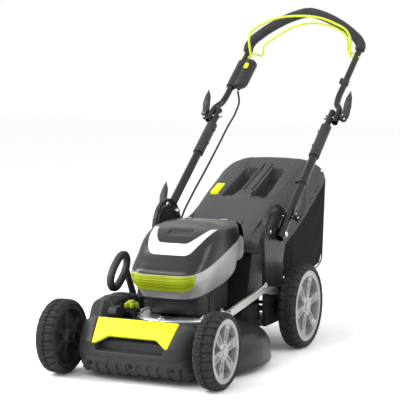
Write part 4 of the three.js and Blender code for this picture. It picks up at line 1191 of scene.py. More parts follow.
# %% Clips, rivets, flag and mouth frame
CLIP_TILT = 0.545
clip_y = np.array([-15, 15, 15, -15])
clip_z = clip_y * CLIP_TILT + np.array([-2.5, -2.5, 2.5, 2.5])
clips = []
for y in (742, 792, 842, 892):
    _, edge, wide_at = bag_at(y)
    outline = rounded(np.stack([y + clip_y, edge + 15 + clip_z], -1), 2)
    for side in (-1, 1):
        clips.append(plate(outline, side * (wide_at - 6), side * (wide_at + 1)))
clip_piece = piece("bag_clips", joined(*clips), plate_black, "grass_box", bevel=0.6)
rivets = [rod((side * 158, 966, 506), (side * 170.5, 966, 506), 5.5, 28, 2.0) for side in (-1, 1)]
piece("bag_rivets", joined(*rivets), zinc_steel, "grass_box")
flag_low, flag_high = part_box("bag_flag")
along = np.linspace(0, 1, 24)[None]
across = np.linspace(0, 1, 24)[:, None]
flag_x = (flag_low[0] + (flag_high[0] - flag_low[0]) * along) / MM
flag_y = (flag_low[1] + (flag_high[1] - flag_low[1]) * across - AXLE_Y) / MM
flag_z = 437 + (flag_y - 700) * 0.41
crown = 1.6 * (1 - (2 * along - 1) ** 4) * (1 - (2 * across - 1) ** 4)
flag_top = np.stack(np.broadcast_arrays(flag_x, flag_y, flag_z + 3.4 + crown), -1)
flag_bottom = np.stack(np.broadcast_arrays(flag_x, flag_y, flag_z - 5.0), -1)
flag = piece("full_flag", walled(flag_top, flag_bottom), grip_yellow, "flag", ("bag_flag",))


def mouth_loop(half, peak, foot, y):
    """A closed line: x = half |cos|^0.6 and z = 300 + (peak - 300) |sin|^0.72 over the arch,
    then straight down each side to the foot."""
    arch = np.linspace(0, PI, 61)
    x = half * np.sign(np.cos(arch)) * np.abs(np.cos(arch)) ** 0.6
    z = 300 + (peak - 300) * np.abs(np.sin(arch)) ** 0.72
    x = np.concatenate([[half], x, [-half]])
    z = np.concatenate([[foot], z, [foot]])
    return np.column_stack([x, np.full(len(x), y), z])


MOUTH_FRONT, MOUTH_REAR = 629.5, 640.0
MOUTH_HALF, MOUTH_BAR = 158, 18
outer_loops = [mouth_loop(MOUTH_HALF, 388, 217, y) for y in (MOUTH_FRONT, MOUTH_REAR)]
inner_loops = [
    mouth_loop(MOUTH_HALF - MOUTH_BAR, 388 - MOUTH_BAR, 217 + MOUTH_BAR, y)
    for y in (MOUTH_REAR, MOUTH_FRONT)
]
mouth_shell = skin(np.stack(outer_loops + inner_loops), wrap_rows=True, wrap_columns=True)
mouth_frame = piece("mouth_frame", mouth_shell, moulded_black, "grass_box", ("bag_frame",), crease=34)
print("clips", len(clips), "and a mouth", 2 * MOUTH_HALF, "mm wide")

# %% [markdown]
# The bag itself is one sheet of woven polyester, sewn to the cover's edge and stretched over
# a wire. It starts as a neat tray, and Blender's cloth simulation lets it sag between its
# sewn edges. The result is applied, each point's travel is capped, and the sheet is given
# the thickness of the coated fabric.

# %% Fabric of the grass box
BAG_LEAN = 25 / 274
BOTTOM_Y = [642, 700, 905, 950, 975, 985]
BOTTOM_Z = [212, 198, 192, 200, 225, 262]


def bag_fabric_sheet(count_y=64, count_a=120):
    """For each y a U: down one side, across the bottom with round corners, up the other.
    The back is closed after this function, by drawing the last rows in along a curve."""
    t = np.linspace(0, 1, count_y)[:, None]
    y = 642 + (956 - 642) * t
    bottom = np.interp(y, BOTTOM_Y, BOTTOM_Z)
    top = bag_at(y)[1] - 3
    half_w = np.interp(y, [642, 700, 960, 985], [164, 171, 173, 168])
    s = np.linspace(-1, 1, count_a)[None]
    side_share = 0.62
    corner = 16.0
    climb = np.clip((np.abs(s) - (1 - side_share)) / side_share, 0, 1)
    x = np.sign(s) * np.minimum(np.abs(s) / (1 - side_share), 1) * half_w
    z = bottom + (top - bottom) * climb
    soften = np.exp(-(((np.abs(s) - (1 - side_share)) / 0.06) ** 2))
    x = x - np.sign(s) * corner * 0.35 * soften
    z = z + corner * 0.3 * soften
    y = y + t**2 * BAG_LEAN * np.clip(z - 212, 0, 300)
    return np.stack([x, y, z], -1)


tray = bag_fabric_sheet()
rear_rows = np.linspace(0, 1, 24)[:, None, None]
last = tray[-1][None]
rear_middle = np.stack([last[..., 0] * 0.0, last[..., 1], last[..., 2]], -1)
pulled = last * (1 - rear_rows) + rear_middle * rear_rows
pulled[..., 1] = last[..., 1] + 5 * np.sin(rear_rows[..., 0] * PI / 2)
cloth_grid = np.concatenate([tray, pulled[1:]])
points, faces = skin(cloth_grid)
cloth_mesh = bpy.data.meshes.new("bag_cloth")
cloth_mesh.from_pydata(placed(points).tolist(), [], faces)
work = bmesh.new()
work.from_mesh(cloth_mesh)
bmesh.ops.remove_doubles(work, verts=work.verts, dist=5e-5)
bmesh.ops.dissolve_degenerate(work, edges=work.edges, dist=5e-5)
bmesh.ops.recalc_face_normals(work, faces=work.faces)
work.to_mesh(cloth_mesh)
work.free()
bag_cloth = bpy.data.objects.new("bag_cloth", cloth_mesh)
bpy.context.scene.collection.objects.link(bag_cloth)
rest = np.array([v.co for v in cloth_mesh.vertices])
edge_z = bag_at((rest[:, 1] - AXLE_Y) / MM)[1] * MM
rear_y = AXLE_Y + 0.956 + BAG_LEAN * np.maximum(rest[:, 2] - 0.212, 0)
corner_seam = (np.abs(rest[:, 0]) > 0.155) & (rest[:, 1] > rear_y - 0.007)
sewn = (rest[:, 2] > edge_z - 0.006) | (rest[:, 1] < AXLE_Y + 0.646) | corner_seam
group = bag_cloth.vertex_groups.new(name="sewn edge")
group.add(np.nonzero(sewn)[0].tolist(), 1.0, "REPLACE")
CAP = 0.008
cloth = bag_cloth.modifiers.new("cloth", "CLOTH")
cloth.settings.vertex_group_mass = "sewn edge"
cloth.settings.quality = 6
cloth.settings.mass = 0.4
cloth.settings.tension_stiffness = 60
cloth.settings.compression_stiffness = 60
cloth.settings.bending_stiffness = 4
cloth.settings.effector_weights.gravity = 0.5
cloth.point_cache.frame_end = 20
for frame_number in range(1, 21):
    bpy.context.scene.frame_set(frame_number)
seen = bag_cloth.evaluated_get(bpy.context.evaluated_depsgraph_get())
sagged = np.array([v.co for v in seen.data.vertices])
bag_cloth.modifiers.remove(cloth)
bpy.context.scene.frame_set(1)
move = sagged - rest
far = np.linalg.norm(move, axis=1, keepdims=True)
move = move * np.minimum(1, CAP / np.maximum(far, 1e-9))
cloth_mesh.vertices.foreach_set("co", (rest + move).ravel())
print("cloth moved at most", round(float(far.max()) * 1000, 1), "mm, capped at", CAP * 1000)
cloth_mesh.update()
cloth_mesh.shade_smooth()
cloth_mesh.materials.append(woven)
wall = bag_cloth.modifiers.new("fabric thickness", "SOLIDIFY")
wall.thickness = 0.0016
wall.offset = -1
smooth = bag_cloth.modifiers.new("smooth", "SUBSURF")
smooth.levels = 1
smooth.render_levels = 1
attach(bag_cloth, "grass_box")
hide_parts("bag_fabric")

# %% [markdown]
# Piping is sewn along the bag's bottom edge and up its back corner: a thin welted cord.

# %% Piping
along_bottom = [[168.5, y, np.interp(y, BOTTOM_Y, BOTTOM_Z) + 3] for y in range(660, 941, 20)]
up_corner = [[172.5, 957.5 + BAG_LEAN * (z - 212), z] for z in range(222, 483, 20)]
for side, label in ((1, "left"), (-1, "right")):
    run = eased(np.array(along_bottom + up_corner) * [side, 1, 1], 160)
    welt = piece("piping_" + label, swept(run, 2.4, 10, (side, 0, 0.3)), cable_pvc, "grass_box")
print("each welt is", round(float(np.linalg.norm(np.diff(run, axis=0), axis=1).sum())), "mm long")

# %% [markdown]
# The rear door is a curved panel under the cover's front, on a hinge bar with four fins.

# %% Rear door
DOOR = np.array([[481, 305], [491, 331], [518, 357], [560, 377], [671, 427]], float)
run = eased(np.column_stack([np.zeros(len(DOOR)), DOOR]), 60)
ahead = np.gradient(run, axis=0)
ahead = ahead / np.linalg.norm(ahead, axis=1, keepdims=True)
normal = np.stack([ahead[:, 0], -ahead[:, 2], ahead[:, 1]], 1)
rounding = np.clip((run[:, 1] - 490) / 150, 0, 1)[:, None]
x = np.linspace(-1, 1, 81)[None] * (149 + 13 * rounding)
panel = np.stack([x, run[:, 1:2] + 0 * x, run[:, 2:3] - 46 * rounding * np.abs(x / 158) ** 6], -1)
hinge_bar = rod((-149, 478, 300), (149, 478, 300), 5.5, 28)
door_parts = [walled(panel, panel - 3.5 * normal[:, None]), hinge_bar]
for x in (-118, -62, 62, 118):
    fin = rounded([[480, 296], [504, 300], [560, 340], [600, 392], [560, 379], [516, 358], [488, 330]], 5)
    door_parts.append(plate(fin, x - 2, x + 2))
door = piece("door_panel", joined(*door_parts), bag_grey, "door", ("rear_door",), bevel=0.5)

# %% [markdown]
# ## Folding handle
# Two lower tubes pivot on brackets behind the deck, middle tubes slide in them, and one bent
# upper tube carries the foam grip, the switch box and two wire bails. All of it is laid out
# along one slanting line, so a function turns a distance up the handle into a place.

# %% Along the handle
FOLD = np.array([533.0, 351.0])
HANDLE_ANGLE = math.radians(38.46)
TUBE_X = 201.0
GRIP_START = 886.0
GRIP_SLOPE = math.radians(68.7)


def on_handle(x, s, n=0.0):
    """The point s mm up the handle from the fold pivot and n mm square to it, at width x."""
    x, s, n = np.broadcast_arrays(np.asarray(x, float), s, n)
    y = FOLD[0] + s * math.cos(HANDLE_ANGLE) - n * math.sin(HANDLE_ANGLE)
    z = FOLD[1] + s * math.sin(HANDLE_ANGLE) + n * math.cos(HANDLE_ANGLE)
    return np.stack([x, y, z], -1)


def hinged(start, slope, shape):
    """Flat points (x, distance) in a plane that leaves the handle at start with one slope."""
    _, y, z = on_handle(0, start)
    flat = np.asarray(shape, float)
    return np.stack([flat[:, 0], y + flat[:, 1] * math.cos(slope), z + flat[:, 1] * math.sin(slope)], -1)


def pipe(path, outer, inner, sides=40):
    """An open pipe: an outer and an inner ring carried along one path."""
    return walled(carried(path, outer, sides), carried(path, inner, sides), True)


def straight(side, low, high, count=2):
    """Points along one tube's middle line."""
    return on_handle(side * TUBE_X, np.linspace(low, high, count))


print("the fold pivot is", round(FOLD[1] / 1000, 3), "m up")

# %% [markdown]
# The bracket plates keep their engineering shape. A toothed quadrant rim is welded round
# each, so that the handle's clamp can hold at many angles: the rim's radius is a triangle
# wave with its corners eased, one tooth every 6 degrees.

# %% Brackets with toothed quadrants
repaint(plate_black, "bracket_left", "bracket_right")


def quadrant(side):
    """A toothed rim from -4 to 184 degrees round the fold pivot; the hub is made apart and joined to it.
    """
    angle = np.radians(np.linspace(-4, 184, 377))
    tooth = np.abs((np.degrees(angle) / 6) % 1 - 0.5) * 2
    rows = []
    for x, inner in ((173.4, 81.5), (185.6, 81.5)):
        low = np.full(angle.shape, inner)
        high = 87.0 + 3.0 * step(tooth, 0.5, 0.4)
        for radius in (low, high) if x < 180 else (high, low):
            y = FOLD[0] + radius * np.cos(angle)
            z = FOLD[1] + radius * np.sin(angle)
            rows.append(np.stack([np.full(angle.shape, side * x), y, z], -1))
    rim = np.stack(rows)
    points, faces = skin(rim, wrap_rows=True)
    last = rim.shape[1]
    faces.append([row * last for row in range(4)])
    faces.append([row * last + last - 1 for row in range(4)])
    return points, faces


hub_line = rounded([[5.3, 186], [22, 186], [20, 187.8], [5.3, 187.8]], 0.8)
for label, side in (("left", 1), ("right", -1)):
    y, z = FOLD
    hub = turned(hub_line, 48, "x", (0, y, z))
    hub[0][:, 0] *= side
    bolts = [rod((side * 171, y + dy, z + 10), (side * 188, y + dy, z + 10), 6, 6, 1) for dy in (-44, 44)]
    rim = piece("quadrant_" + label, joined(quadrant(side), hub), plate_black, "root", crease=34)
    piece("bracket_bolts_" + label, joined(*bolts), zinc_steel, "root")
    knuckle = rod((side * 216, y, z), (side * 220.5, y, z), 9, 6, 1.2)
    piece("pivot_nut_" + label, knuckle, zinc_steel, "root")
print("each quadrant has", int(188 / 6), "teeth")

# %% [markdown]
# The lower tubes are real pipes with a wall of 1.8 mm, and the middle ones end inside them.
# The plastic sleeves that join them have a moulded lip at each end and two snap buttons on
# the inner side. A small ring clamp with a round knob sits on the left tube.

# %% Tubes and sleeves
SLEEVE_S = [342, 342.8, 344, 352, 353, 355, 356, 474, 476, 478, 480, 485, 486.4, 487]
SLEEVE_R = [15, 16.6, 17, 17, 16.2, 16.2, 17, 17, 16.2, 16.2, 17, 17, 16.4, 14.6]
for label, side in (("left", 1), ("right", -1)):
    tube = pipe(straight(side, -18, 470), 13, 11.2)
    lower = piece("handle_tube_low_" + label, tube, tube_black, "lower_handle", ("lower_tube_" + label,))
    shell = pipe(on_handle(side * TUBE_X, SLEEVE_S), np.array(SLEEVE_R), 13.25, 64)
    stands_for = ("tube_sleeve_" + label,)
    sleeve = piece("sleeve_" + label, shell, moulded_black, "lower_handle", stands_for, crease=30)
    snaps = []
    for s in (394, 461):
        at = [side * (TUBE_X - 20), *on_handle(0, s)[1:]]
        to = [side * (TUBE_X - 15), *on_handle(0, s)[1:]]
        snaps.append(rod(at, to, 6, 32, 2.2))
    piece("snap_buttons_" + label, joined(*snaps), gloss_grey, "lower_handle")
    bar = rod(on_handle(side * TUBE_X, 260), on_handle(side * TUBE_X, 562), 10.2, 40, 1.5)
    middle = piece("handle_tube_mid_" + label, bar, tube_black, "mid_handle", ("mid_tube_" + label,))

clamp_path = on_handle(TUBE_X, np.array([216.0, 217, 231, 232]))
clamp = pipe(clamp_path, np.array([14.6, 15.6, 15.6, 14.6]), 13.2, 48)
clamp_knob = rod(on_handle(TUBE_X - 14, 224, 4), on_handle(TUBE_X - 24, 224, 4), 6.5, 32, 1.5)
piece("cable_clamp", joined(clamp, clamp_knob), gloss_grey, "lower_handle")
print("tubes stand", 2 * TUBE_X, "mm apart")

# %% [markdown]
# The upper tube is one bend: out over the clamp bolts, straight up, then over the top in an
# arch. The foam is a thick sleeve pushed on along the arch, with its two ends rounded.

# %% Upper tube and foam grip
LEG_X = [223.4, 223.4, 223.4, 221.9, 205, 203, 202, 203, 204]
LEG_S = [506, 530, 556, 568, 600, 612, 700, 800, 876]
ARCH = [(206, 12), (196, 32), (172, 55), (117, 94), (47, 127)]


def half_run(side):
    """One leg and half of the arch, from the foot up."""
    leg = on_handle(side * np.array(LEG_X), LEG_S)
    return np.concatenate([leg, hinged(GRIP_START, GRIP_SLOPE, np.array(ARCH) * [side, 1])])


crown_point = hinged(GRIP_START, GRIP_SLOPE, [(0, 138)])
upper_run = eased(np.concatenate([half_run(-1), crown_point, half_run(1)[::-1]]), 900)
upper_tube = piece(
    "handle_tube_top", pipe(upper_run, 10.5, 9.0), tube_black, "top_handle", ("upper_handle",)
)
foam_ends = (on_handle(side * LEG_X[-1], LEG_S[-1]) for side in (-1, 1))
first, last = (int(np.argmin(np.linalg.norm(upper_run - end, axis=1))) for end in foam_ends)
foam_run = upper_run[first : last + 1 : 3]
run_mm = np.concatenate([[0], np.cumsum(np.linalg.norm(np.diff(foam_run, axis=0), axis=1))])
from_end = np.minimum(run_mm, run_mm[-1] - run_mm)
foam_radius = 17 - 4.0 * (1 - np.sqrt(1 - (1 - np.clip(from_end / 5, 0, 1)) ** 2))
foam = piece("foam_sleeve", pipe(foam_run, foam_radius, 10.8, 48), foam_grey, "top_handle", ("foam_grip",))
print("foam is", round(float(run_mm[-1])), "mm long")

# %% [markdown]
# A clip sits on the left leg, with a cross pin through the tube.

# %% Clip on the left leg
s_line = np.array([697.0, 698.5, 716, 717.5])
clip_ring = pipe(on_handle(202.0, s_line), np.array([11.6, 12.8, 12.8, 11.6]), 10.7, 40)
clip_block = rod(on_handle(189, 700, 6), on_handle(189, 722, 6), 5.5, 24, 1.5)
piece("leg_clip", joined(clip_ring, clip_block), moulded_black, "top_handle")
shank = rod(on_handle(182, 704), on_handle(220, 704), 2.2, 20)
pin_head = rod(on_handle(218, 704), on_handle(221, 704), 4.2, 20)
piece("leg_clip_pin", joined(shank, pin_head), zinc_steel, "top_handle")
print("clip pin is", round(float(np.ptp(shank[0][:, 0]))), "mm long")

# %% [markdown]
# The bails are spring wire, bent to a shape and dipped in lime plastic. Each lies in one
# plane through its pivot.

# %% Bails
OUTER_X = [217, 190, 184, 184, 184, 174, 130, 90, 45]
OUTER_UP = [0, 0, 5, 30, 70, 90, 117, 133, 141]
INNER_X = [-150, -144, -141, -129, -97, -51, -6, 39, 74, 104, 142, 158, 166, 169, 170, 176, 190, 203]
INNER_UP = [-8, 0, 22, 35, 55, 80, 97, 103, 101, 94, 77, 66, 52, 28, 8, 1, 0, 0]
OUTER_AT, OUTER_SLOPE = 842, math.radians(99)
INNER_AT, INNER_SLOPE = 865, math.radians(96)
outer_half = np.column_stack([OUTER_X, OUTER_UP])
outer_shape = np.concatenate([outer_half * [-1, 1], [[0, 143]], outer_half[::-1]])
inner_shape = np.column_stack([INNER_X, INNER_UP])
outer_path = eased(hinged(OUTER_AT, OUTER_SLOPE, outer_shape), 420)
inner_path = eased(hinged(INNER_AT, INNER_SLOPE, inner_shape), 340)
upright = (0, 0.5, 0.87)
outer_wire = swept(outer_path, 4, 18, upright)
piece("bail_outer", outer_wire, bail_lime, "outer_bail", ("outer_bail",))
stub = rod(inner_path[0], on_handle(-186, INNER_AT), 3.5, 18)
pivot = rod(on_handle(-184, INNER_AT), on_handle(-203, INNER_AT), 3.5, 18)
inner_wire = joined(swept(inner_path, 3.5, 18, upright), stub, pivot)
piece("bail_inner", inner_wire, bail_lime, "inner_bail", ("inner_bail",))
wire_mm = float(np.linalg.norm(np.diff(outer_path, axis=0), axis=1).sum())
print("outer bail is", round(wire_mm), "mm of wire")

# %% [markdown]
# ## Cam clamps
# Each clamp is a bolt through the tube, a nut inside, a round eye outside, and a leaf-shaped
# lever that turns on a cross pin in the eye. The leaf is a thin channel with curled edges.

# %% Cam clamps
LOW_CAM, HIGH_CAM = 75.0, 531.0
LEAF_LEAN = math.radians(18)


def leaned(at, q, n):
    """Leaf points q along and n across, leaning away from the tube beyond the head."""
    lean = np.where(q > 10, LEAF_LEAN * np.minimum(1, q / 50), 0.0)
    return at + q * np.cos(lean), n + q * np.sin(lean)


def leaf(side, at, cam_x):
    """Upper and lower faces of the leaf as grids of (along, across): a shallow channel whose
    edges curl down, widest near the head and pointed at the tip."""
    q = np.linspace(6, 96, 70)[:, None]
    inner = np.interp(q, [6, 20, 50, 75, 96], [-8, -9, -8, -4, 6])
    outer = np.interp(q, [6, 20, 45, 75, 96], [9, 14, 18, 15, 8])
    v = np.linspace(-1, 1, 21)[None]
    x = cam_x + (inner + outer) / 2 + (outer - inner) / 2 * v
    thin = np.clip((96 - q) / 70, 0.15, 1)
    top = 11.0 - 2.5 * v**2 - 7 * np.abs(v) ** 5 * thin - 4 * (1 - thin)
    bottom = top - 3.2 - 9.0 * step(24 - q, 0, 12)
    s_top, n_top = leaned(at, q + 0 * x, top)
    s_low, n_low = leaned(at, q + 0 * x, bottom)
    return walled(on_handle(side * x, s_top, n_top), on_handle(side * x, s_low, n_low))


def cheeks(side, at, cam_x):
    """Two rounded ears either side of the eye, joined in front of it."""
    parts = []
    outline = rounded([[-8, -8], [9, -8], [12, 0], [12, 8.6], [-4, 8.6], [-8, 4]], 5, 6)
    web = rounded([[7.6, -8], [15, -8], [15, 8.6], [7.6, 8.6]], 2, 4)
    for line, low, high in ((outline, -11.5, -5.8), (outline, 5.8, 11.5), (web, -11.4, 11.4)):
        x = side * (cam_x + line[:, 1])
        grids = [on_handle(x, at + line[:, 0], level) for level in (low, high)]
        parts.append(skin(np.stack(grids), wrap_columns=True, ends=True))
    return joined(*parts)


for label, side in (("left", 1), ("right", -1)):
    for level, at, cam_x, inner, washer_x, holder in (
        ("lower", LOW_CAM, 229.0, 172.0, 216.5, "lower_handle"),
        ("upper", HIGH_CAM, 246.0, 188.0, 235.5, "mid_handle"),
    ):
        parts = [
            rod(on_handle(side * inner, at), on_handle(side * (cam_x - 3), at), 4, 24),
            rod(on_handle(side * (inner - 6), at), on_handle(side * inner, at), 8, 6, 1),
            rod(on_handle(side * inner, at), on_handle(side * (inner + 1.6), at), 9.5, 32, 0.5),
            rod(on_handle(side * cam_x, at, -15), on_handle(side * cam_x, at, 15), 3, 24),
            rod(on_handle(side * cam_x, at, -5.2), on_handle(side * cam_x, at, 5.2), 5.6, 32),
        ]
        stands_for = (f"{level}_cam_bolt_{label}",)
        bolt = piece(f"{level}_clamp_bolt_{label}", joined(*parts), zinc_steel, holder, stands_for)
        shell = joined(leaf(side, at, cam_x), cheeks(side, at, cam_x))
        lever = piece(
            f"{level}_clamp_lever_{label}",
            shell,
            moulded_black,
            f"{level}_cam_{label}",
            (f"{level}_cam_lever_{label}",),
            crease=34,
            bevel=0.8,
        )
        washer_ends = (on_handle(side * x, at) for x in (washer_x, washer_x + 3))
        washer = rod(*washer_ends, 11, 32, 0.8)
        piece(f"{level}_clamp_washer_{label}", washer, plate_black, holder)
print("four clamps made")

# %% [markdown]
# ## Switch box
# Seen along the tube the box is two circles run together: a sleeve round the tube and a
# larger lobe for the switch. The outline is the soft maximum of the two, and the lobe grows
# from nothing at the lower end, where the cable comes in.

# %% Switch box and button
BOX_CENTRE = np.array([-189.0, -1.0])
BOX_SLEEVE = np.array([-202.5, 0.0])
BOX_LOBE = np.array([-172.0, -3.0])
SLEEVE_RADIUS, LOBE_RADIUS = 16, 23.0
BUTTON_X, BUTTON_S = -170, 772
# How far the outline is drawn in (mm) at each place along the box.
BOX_END_S = [680, 680.6, 682, 805, 805.8, 806.6, 811, 811.6, 812]
BOX_END_IN = [2.6, 1, 0, 0, 0.9, 0, 0, 0.6, 2]


def ray(angle, circle, radius):
    """Distance from the box's centre to a circle's edge in each direction."""
    d = circle - BOX_CENTRE
    ahead = d[0] * np.cos(angle) + d[1] * np.sin(angle)
    return ahead + np.sqrt(np.maximum(radius**2 - d @ d + ahead**2, 1e-3))


def box_sheet(count=96):
    """Rings up the box; both ends are drawn in to a rounded edge and closed on the tube."""
    angle = np.linspace(0, 2 * PI, count, endpoint=False)[None]
    s = np.concatenate([BOX_END_S[:3], np.linspace(685, 804, 90), BOX_END_S[3:]])[:, None]
    small = ray(angle, BOX_SLEEVE, SLEEVE_RADIUS)
    full = np.log(np.exp(small / 3) + np.exp(ray(angle, BOX_LOBE, LOBE_RADIUS) / 3)) * 3
    full = np.maximum(full - 0.8, small)
    grow = np.clip((s - 684) / 30, 0, 1)
    grow = np.sqrt(1 - (1 - grow) ** 2)
    radius = small + (full - small) * grow
    ends = np.interp(s, BOX_END_S, BOX_END_IN)
    split = 1 - step(np.abs(np.sin(angle - 0.1)), 0.045, 0.02)
    radius = radius - ends - 0.9 * split
    x = BOX_CENTRE[0] + radius * np.cos(angle)
    n = BOX_CENTRE[1] + radius * np.sin(angle)
    outer = on_handle(x, s, n)
    bore_x = BOX_SLEEVE[0] + 10.9 * np.cos(angle)
    bore_n = 10.9 * np.sin(angle)
    inner = on_handle(bore_x + 0 * s, s, bore_n + 0 * s)
    return outer, inner


def oblong(grow, count=14):
    """Outline of the button in (width, along): two half circles 14 mm apart."""
    a = np.linspace(0, PI, count)
    half = np.stack([(7 + grow) * np.cos(a), 7 + (7 + grow) * np.sin(a)], -1)
    return np.concatenate([half, -half])


def lobe_top(line, rise):
    """Height of the lobe under an outline: centre + sqrt(radius^2 - width^2), and the rise."""
    return BOX_LOBE[1] + np.sqrt(LOBE_RADIUS**2 - (line[:, 0] + 2) ** 2) + rise


outer, inner = box_sheet()
boss_s = np.array([679.0, 680, 683, 684, 687, 688, 691, 692, 708])
boss_x = np.interp(boss_s, [679, 708], [-176, -172])
boss_n = np.interp(boss_s, [679, 708], [-8.4, -5])
boss_radius = np.array([5.4, 6.4, 6.4, 7.4, 7.4, 8.4, 8.4, 9.4, 12])
boss = swept(on_handle(boss_x, boss_s, boss_n), boss_radius, 32)
housing = joined(walled(outer, inner, True), boss)
box_piece = piece("switch_housing", housing, moulded_black, "top_handle", ("switch_box",))
bezel_line = oblong(2.2, 18)
bezel_path = on_handle(
    BUTTON_X + bezel_line[:, 0], BUTTON_S + bezel_line[:, 1], lobe_top(bezel_line, -0.2)
)
bezel = swept(np.concatenate([bezel_path, bezel_path[:1]]), 1.7, 14)
piece("button_bezel", bezel, moulded_black, "top_handle")
well_line = oblong(1.0, 18)
well_n = lobe_top(well_line, 0.35)
well_rings = [
    on_handle(BUTTON_X + well_line[:, 0] * part, BUTTON_S + well_line[:, 1] * part, well_n)
    for part in (1.0, 0.01)
]
well = skin(np.stack(well_rings), wrap_columns=True)
piece("button_well", well, cavity_black, "top_handle")
layers = []
for grow, n in ((0, 14), (0, 22.4), (-0.5, 23.4), (-1.6, 24.0), (-4.5, 24.4), (-6.5, 24.5)):
    rim_line = oblong(grow)
    layers.append(on_handle(BUTTON_X + rim_line[:, 0], BUTTON_S + rim_line[:, 1], n))
push = skin(np.stack(layers), wrap_columns=True, ends=True)
button = piece("start_push", push, grip_yellow, "start_button", ("start_button",))
print("switch box is", BOX_END_S[-1] - BOX_END_S[0], "mm long")

# %% [markdown]
# ## Control cable
# The cable leaves the switch box, hangs along the right tube and runs round the housing to
# the motor. Its sheath is ribbed so that it bends easily. It crosses three joints, so it is
# three pieces, each left fixed where it is drawn.

# %% Control cable
CABLE = np.array(
    [
        [-178, *on_handle(0, 676, -13)[1:]],
        [-180, 1086, 722],
        [-184, 1068, 690],
        [-187, 1012, 645],
        [-187, 930, 582],
        [-187, 827, 505],
        [-188, 728, 432],
        [-190, 662, 372],
        [-191, 630, 318],
        [-191, 608, 262],
        [-191.5, 570, 216],
        [-192, 520, 194],
        [-191.5, 470, 185],
        [-190, 452, 182],
        [-184, 440, 180],
        [-170, 432, 179],
        [-150, 422, 179],
        [-122, 405, 179],
        [-94, 388, 179],
    ],
    float,
)
cable_run = eased(CABLE, 1500)
cable_mm = np.concatenate([[0], np.cumsum(np.linalg.norm(np.diff(cable_run, axis=0), axis=1))])
cable_radius = 3.5 - 0.35 * (0.5 + 0.5 * np.cos(2 * PI * cable_mm / 5.0))
handle_way = np.array([math.cos(HANDLE_ANGLE), math.sin(HANDLE_ANGLE)])
up_handle = (cable_run[:, 1:] - FOLD) @ handle_way
cut_high = int(np.argmax(up_handle < 480))
cut_low = int(np.argmax(up_handle < 300))
for label, first, last, lower_body, upper_body, at, stands_for in (
    ("top", 0, cut_high + 1, "mid_handle", "top_handle", (510, 600), ()),
    ("middle", cut_high, cut_low + 1, "lower_handle", "mid_handle", (330, 460), ()),
    ("low", cut_low, 1500, "root", "lower_handle", (20, 200), ("control_cable",)),
):
    part = swept(cable_run[first:last], cable_radius[first:last], 14)
    length = piece("cable_" + label, part, cable_pvc, upper_body, stands_for)
    length.parent = None
    start, end = (placed(on_handle(-188, s)) for s in at)
    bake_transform(length)
print("cable is", round(float(cable_mm[-1])), "mm long")

# %% [markdown]
# ## Height lever, side cover and star knob
# The lever ends in a closed loop for the hand. Its middle line is a tilted oval and its
# section a rounded square.

# %% Height lever
LEVER_PIVOT = np.array([352.0, 150.0])


def loop_point(angle, inset):
    """The loop's oval, inset by so many mm, turned by 40 degrees."""
    soft_cos = np.sign(np.cos(angle)) * np.abs(np.cos(angle)) ** 0.85
    soft_sin = np.sign(np.sin(angle)) * np.abs(np.sin(angle)) ** 0.85
    u, v = (68 - inset) * soft_cos, (40 - inset) * soft_sin
    turn_by = math.radians(40)
    y = 250 + u * math.cos(turn_by) - v * math.sin(turn_by)
    z = 253 + u * math.sin(turn_by) + v * math.cos(turn_by)
    return y, z


section = rounded([[0, -204], [20, -204], [20, -184], [0, -184]], 7.5, 6)
angle = np.linspace(0, 2 * PI, 120, endpoint=False)
loop_grid = np.stack([np.stack([np.full(120, x), *loop_point(angle, inset)], -1) for inset, x in section])
handle_loop = skin(loop_grid, wrap_rows=True, wrap_columns=True)
leg_top = np.array([292.0, 262.0])
leg_mm = np.linalg.norm(leg_top - LEVER_PIVOT)
ahead = (leg_top - LEVER_PIVOT) / leg_mm
across = np.array([-ahead[1], ahead[0]])


def along_leg(start, start_half, end, end_half):
    """A bar's four corners: start to end mm up the leg, with a half width at each."""
    low, high = LEVER_PIVOT + ahead * start, LEVER_PIVOT + ahead * end
    low_side, high_side = across * start_half, across * end_half
    return [low + low_side, low - low_side, high - high_side, high + high_side]


leg = plate(rounded(along_leg(0, 13, leg_mm, 11), 9, 6), -199, -191)
rib = plate(rounded(along_leg(22, 3, 96, 3), 2), -201.5, -190)
hub_line = rounded([[6.4, -199.5], [15, -199.5], [15, -190.5], [6.4, -190.5]], 1.5)
hub = turned(hub_line, 48, "x", (0, *LEVER_PIVOT))
arm = joined(handle_loop, leg, rib, hub)
lever_piece = piece(
    "height_lever_arm", arm, moulded_black, "lever", ("height_lever",), crease=30, bevel=0.6
)
print("lever's leg is", round(float(leg_mm)), "mm long")

# %% [markdown]
# The side cover is a low dome over the height linkage. Its front is cut to flat facets, and
# three round pads stand on its top.

# %% Side cover
# Each row: y, half width, and height of the top.
COVER = np.array(
    [
        [112, 22, 112],
        [116, 28, 140],
        [124, 34, 172],
        [150, 39, 183],
        [190, 41.5, 188],
        [250, 42, 188],
        [300, 41, 184],
        [311, 37, 170],
        [316, 33, 150],
    ],
    float,
)
COVER_X = -194


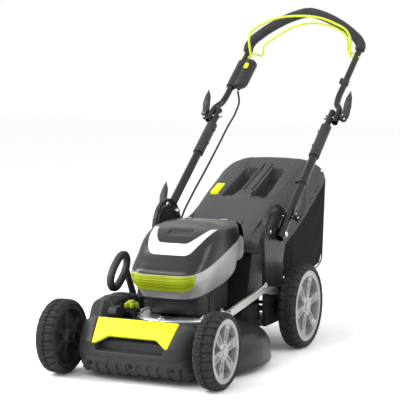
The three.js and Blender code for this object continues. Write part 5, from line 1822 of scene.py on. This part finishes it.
def cover_dome(out, top_out):
    """Superellipse arches at each y: flat-topped, with the pads raised from the top."""
    spans = (np.linspace(112, 124, 14), np.linspace(125, 300, 90), np.linspace(301, 316, 16))
    y = np.concatenate(spans)[:, None]
    half, top = (np.interp(y, COVER[:, 0], COVER[:, k]) for k in (1, 2))
    a = np.linspace(-0.1, PI + 0.1, 90)[None]
    cos, sin = np.cos(a), np.sin(a)
    x = COVER_X + (half + out) * np.sign(cos) * np.abs(cos) ** 0.5
    z = 104 + (top + top_out - 104) * np.sign(sin) * np.abs(sin) ** 0.5
    for pad_y, pad_r in ((156, 17), (205, 20), (262, 24)):
        far = np.hypot((x - COVER_X) * 0.8, y - pad_y)
        z = z + 2.4 * (1 - step(far, pad_r, 1.4)) * (sin > 0.3)
        z = z - 1.0 * (1 - step(np.abs(far - pad_r * 0.6), 1.2, 0.6)) * (sin > 0.3)
    flat_front = 124 + (z - 120) * 0.45 + np.abs(x - COVER_X) * 0.25
    y = np.maximum(y, np.where(y < 170, flat_front, 0)) + 0 * x
    return np.stack([x, y, z], -1)


cover_shell = walled(cover_dome(0, -1.5), cover_dome(-3, -5))
tab = plate(rounded([[-170, 168], [-96, 168], [-96, 204], [-170, 204]], 8), 150, 160, "z")
fin = plate(rounded([[168, 158], [204, 158], [204, 168], [168, 168]], 3), -168, -150)
shell = joined(cover_shell, tab, fin)
side_cover = piece("linkage_cover", shell, moulded_black, "root", ("side_cover",), crease=26)
block_outline = rounded([[118, 150], [132, 128], [168, 132], [176, 160], [150, 172], [126, 168]], 5)
block = plate(block_outline, -160, -134)
piece("cover_nose_block", block, moulded_black, "root", bevel=2)
print("side cover is", COVER[-1, 0] - COVER[0, 0], "mm long")

# %% [markdown]
# The star knob has five lobes: its radius is a wave of five round the turn, drawn in at the
# top and bottom edges.

# %% Star knob
KNOB = (-118.0, 186.0)
angle = np.linspace(0, 2 * PI, 100, endpoint=False)
lobes = 0.5 + 0.5 * np.cos(5 * (angle - PI / 2))
layers = []
for z, inset in ((162, 2.5), (163, 1), (165, 0), (173, 0), (175.2, 0.8), (176.4, 2.4)):
    radius = 12.5 + 9.5 * lobes**0.8 - inset
    x = KNOB[0] + radius * np.cos(angle)
    y = KNOB[1] + radius * np.sin(angle)
    layers.append(np.stack([x, y, np.full(100, float(z))], -1))
star = skin(np.stack(layers), wrap_columns=True, ends=True)
cap = turned(rounded([[0.01, 175], [11.5, 175], [10, 182], [0.01, 184]], 2), 40, "z", (*KNOB, 0))
stem = rod((*KNOB, 144), (*KNOB, 163), 4, 24)
grip_shell = joined(star, cap, stem)
knob = piece("star_grip", grip_shell, lime_abs, "star_knob", ("star_knob",), crease=34)
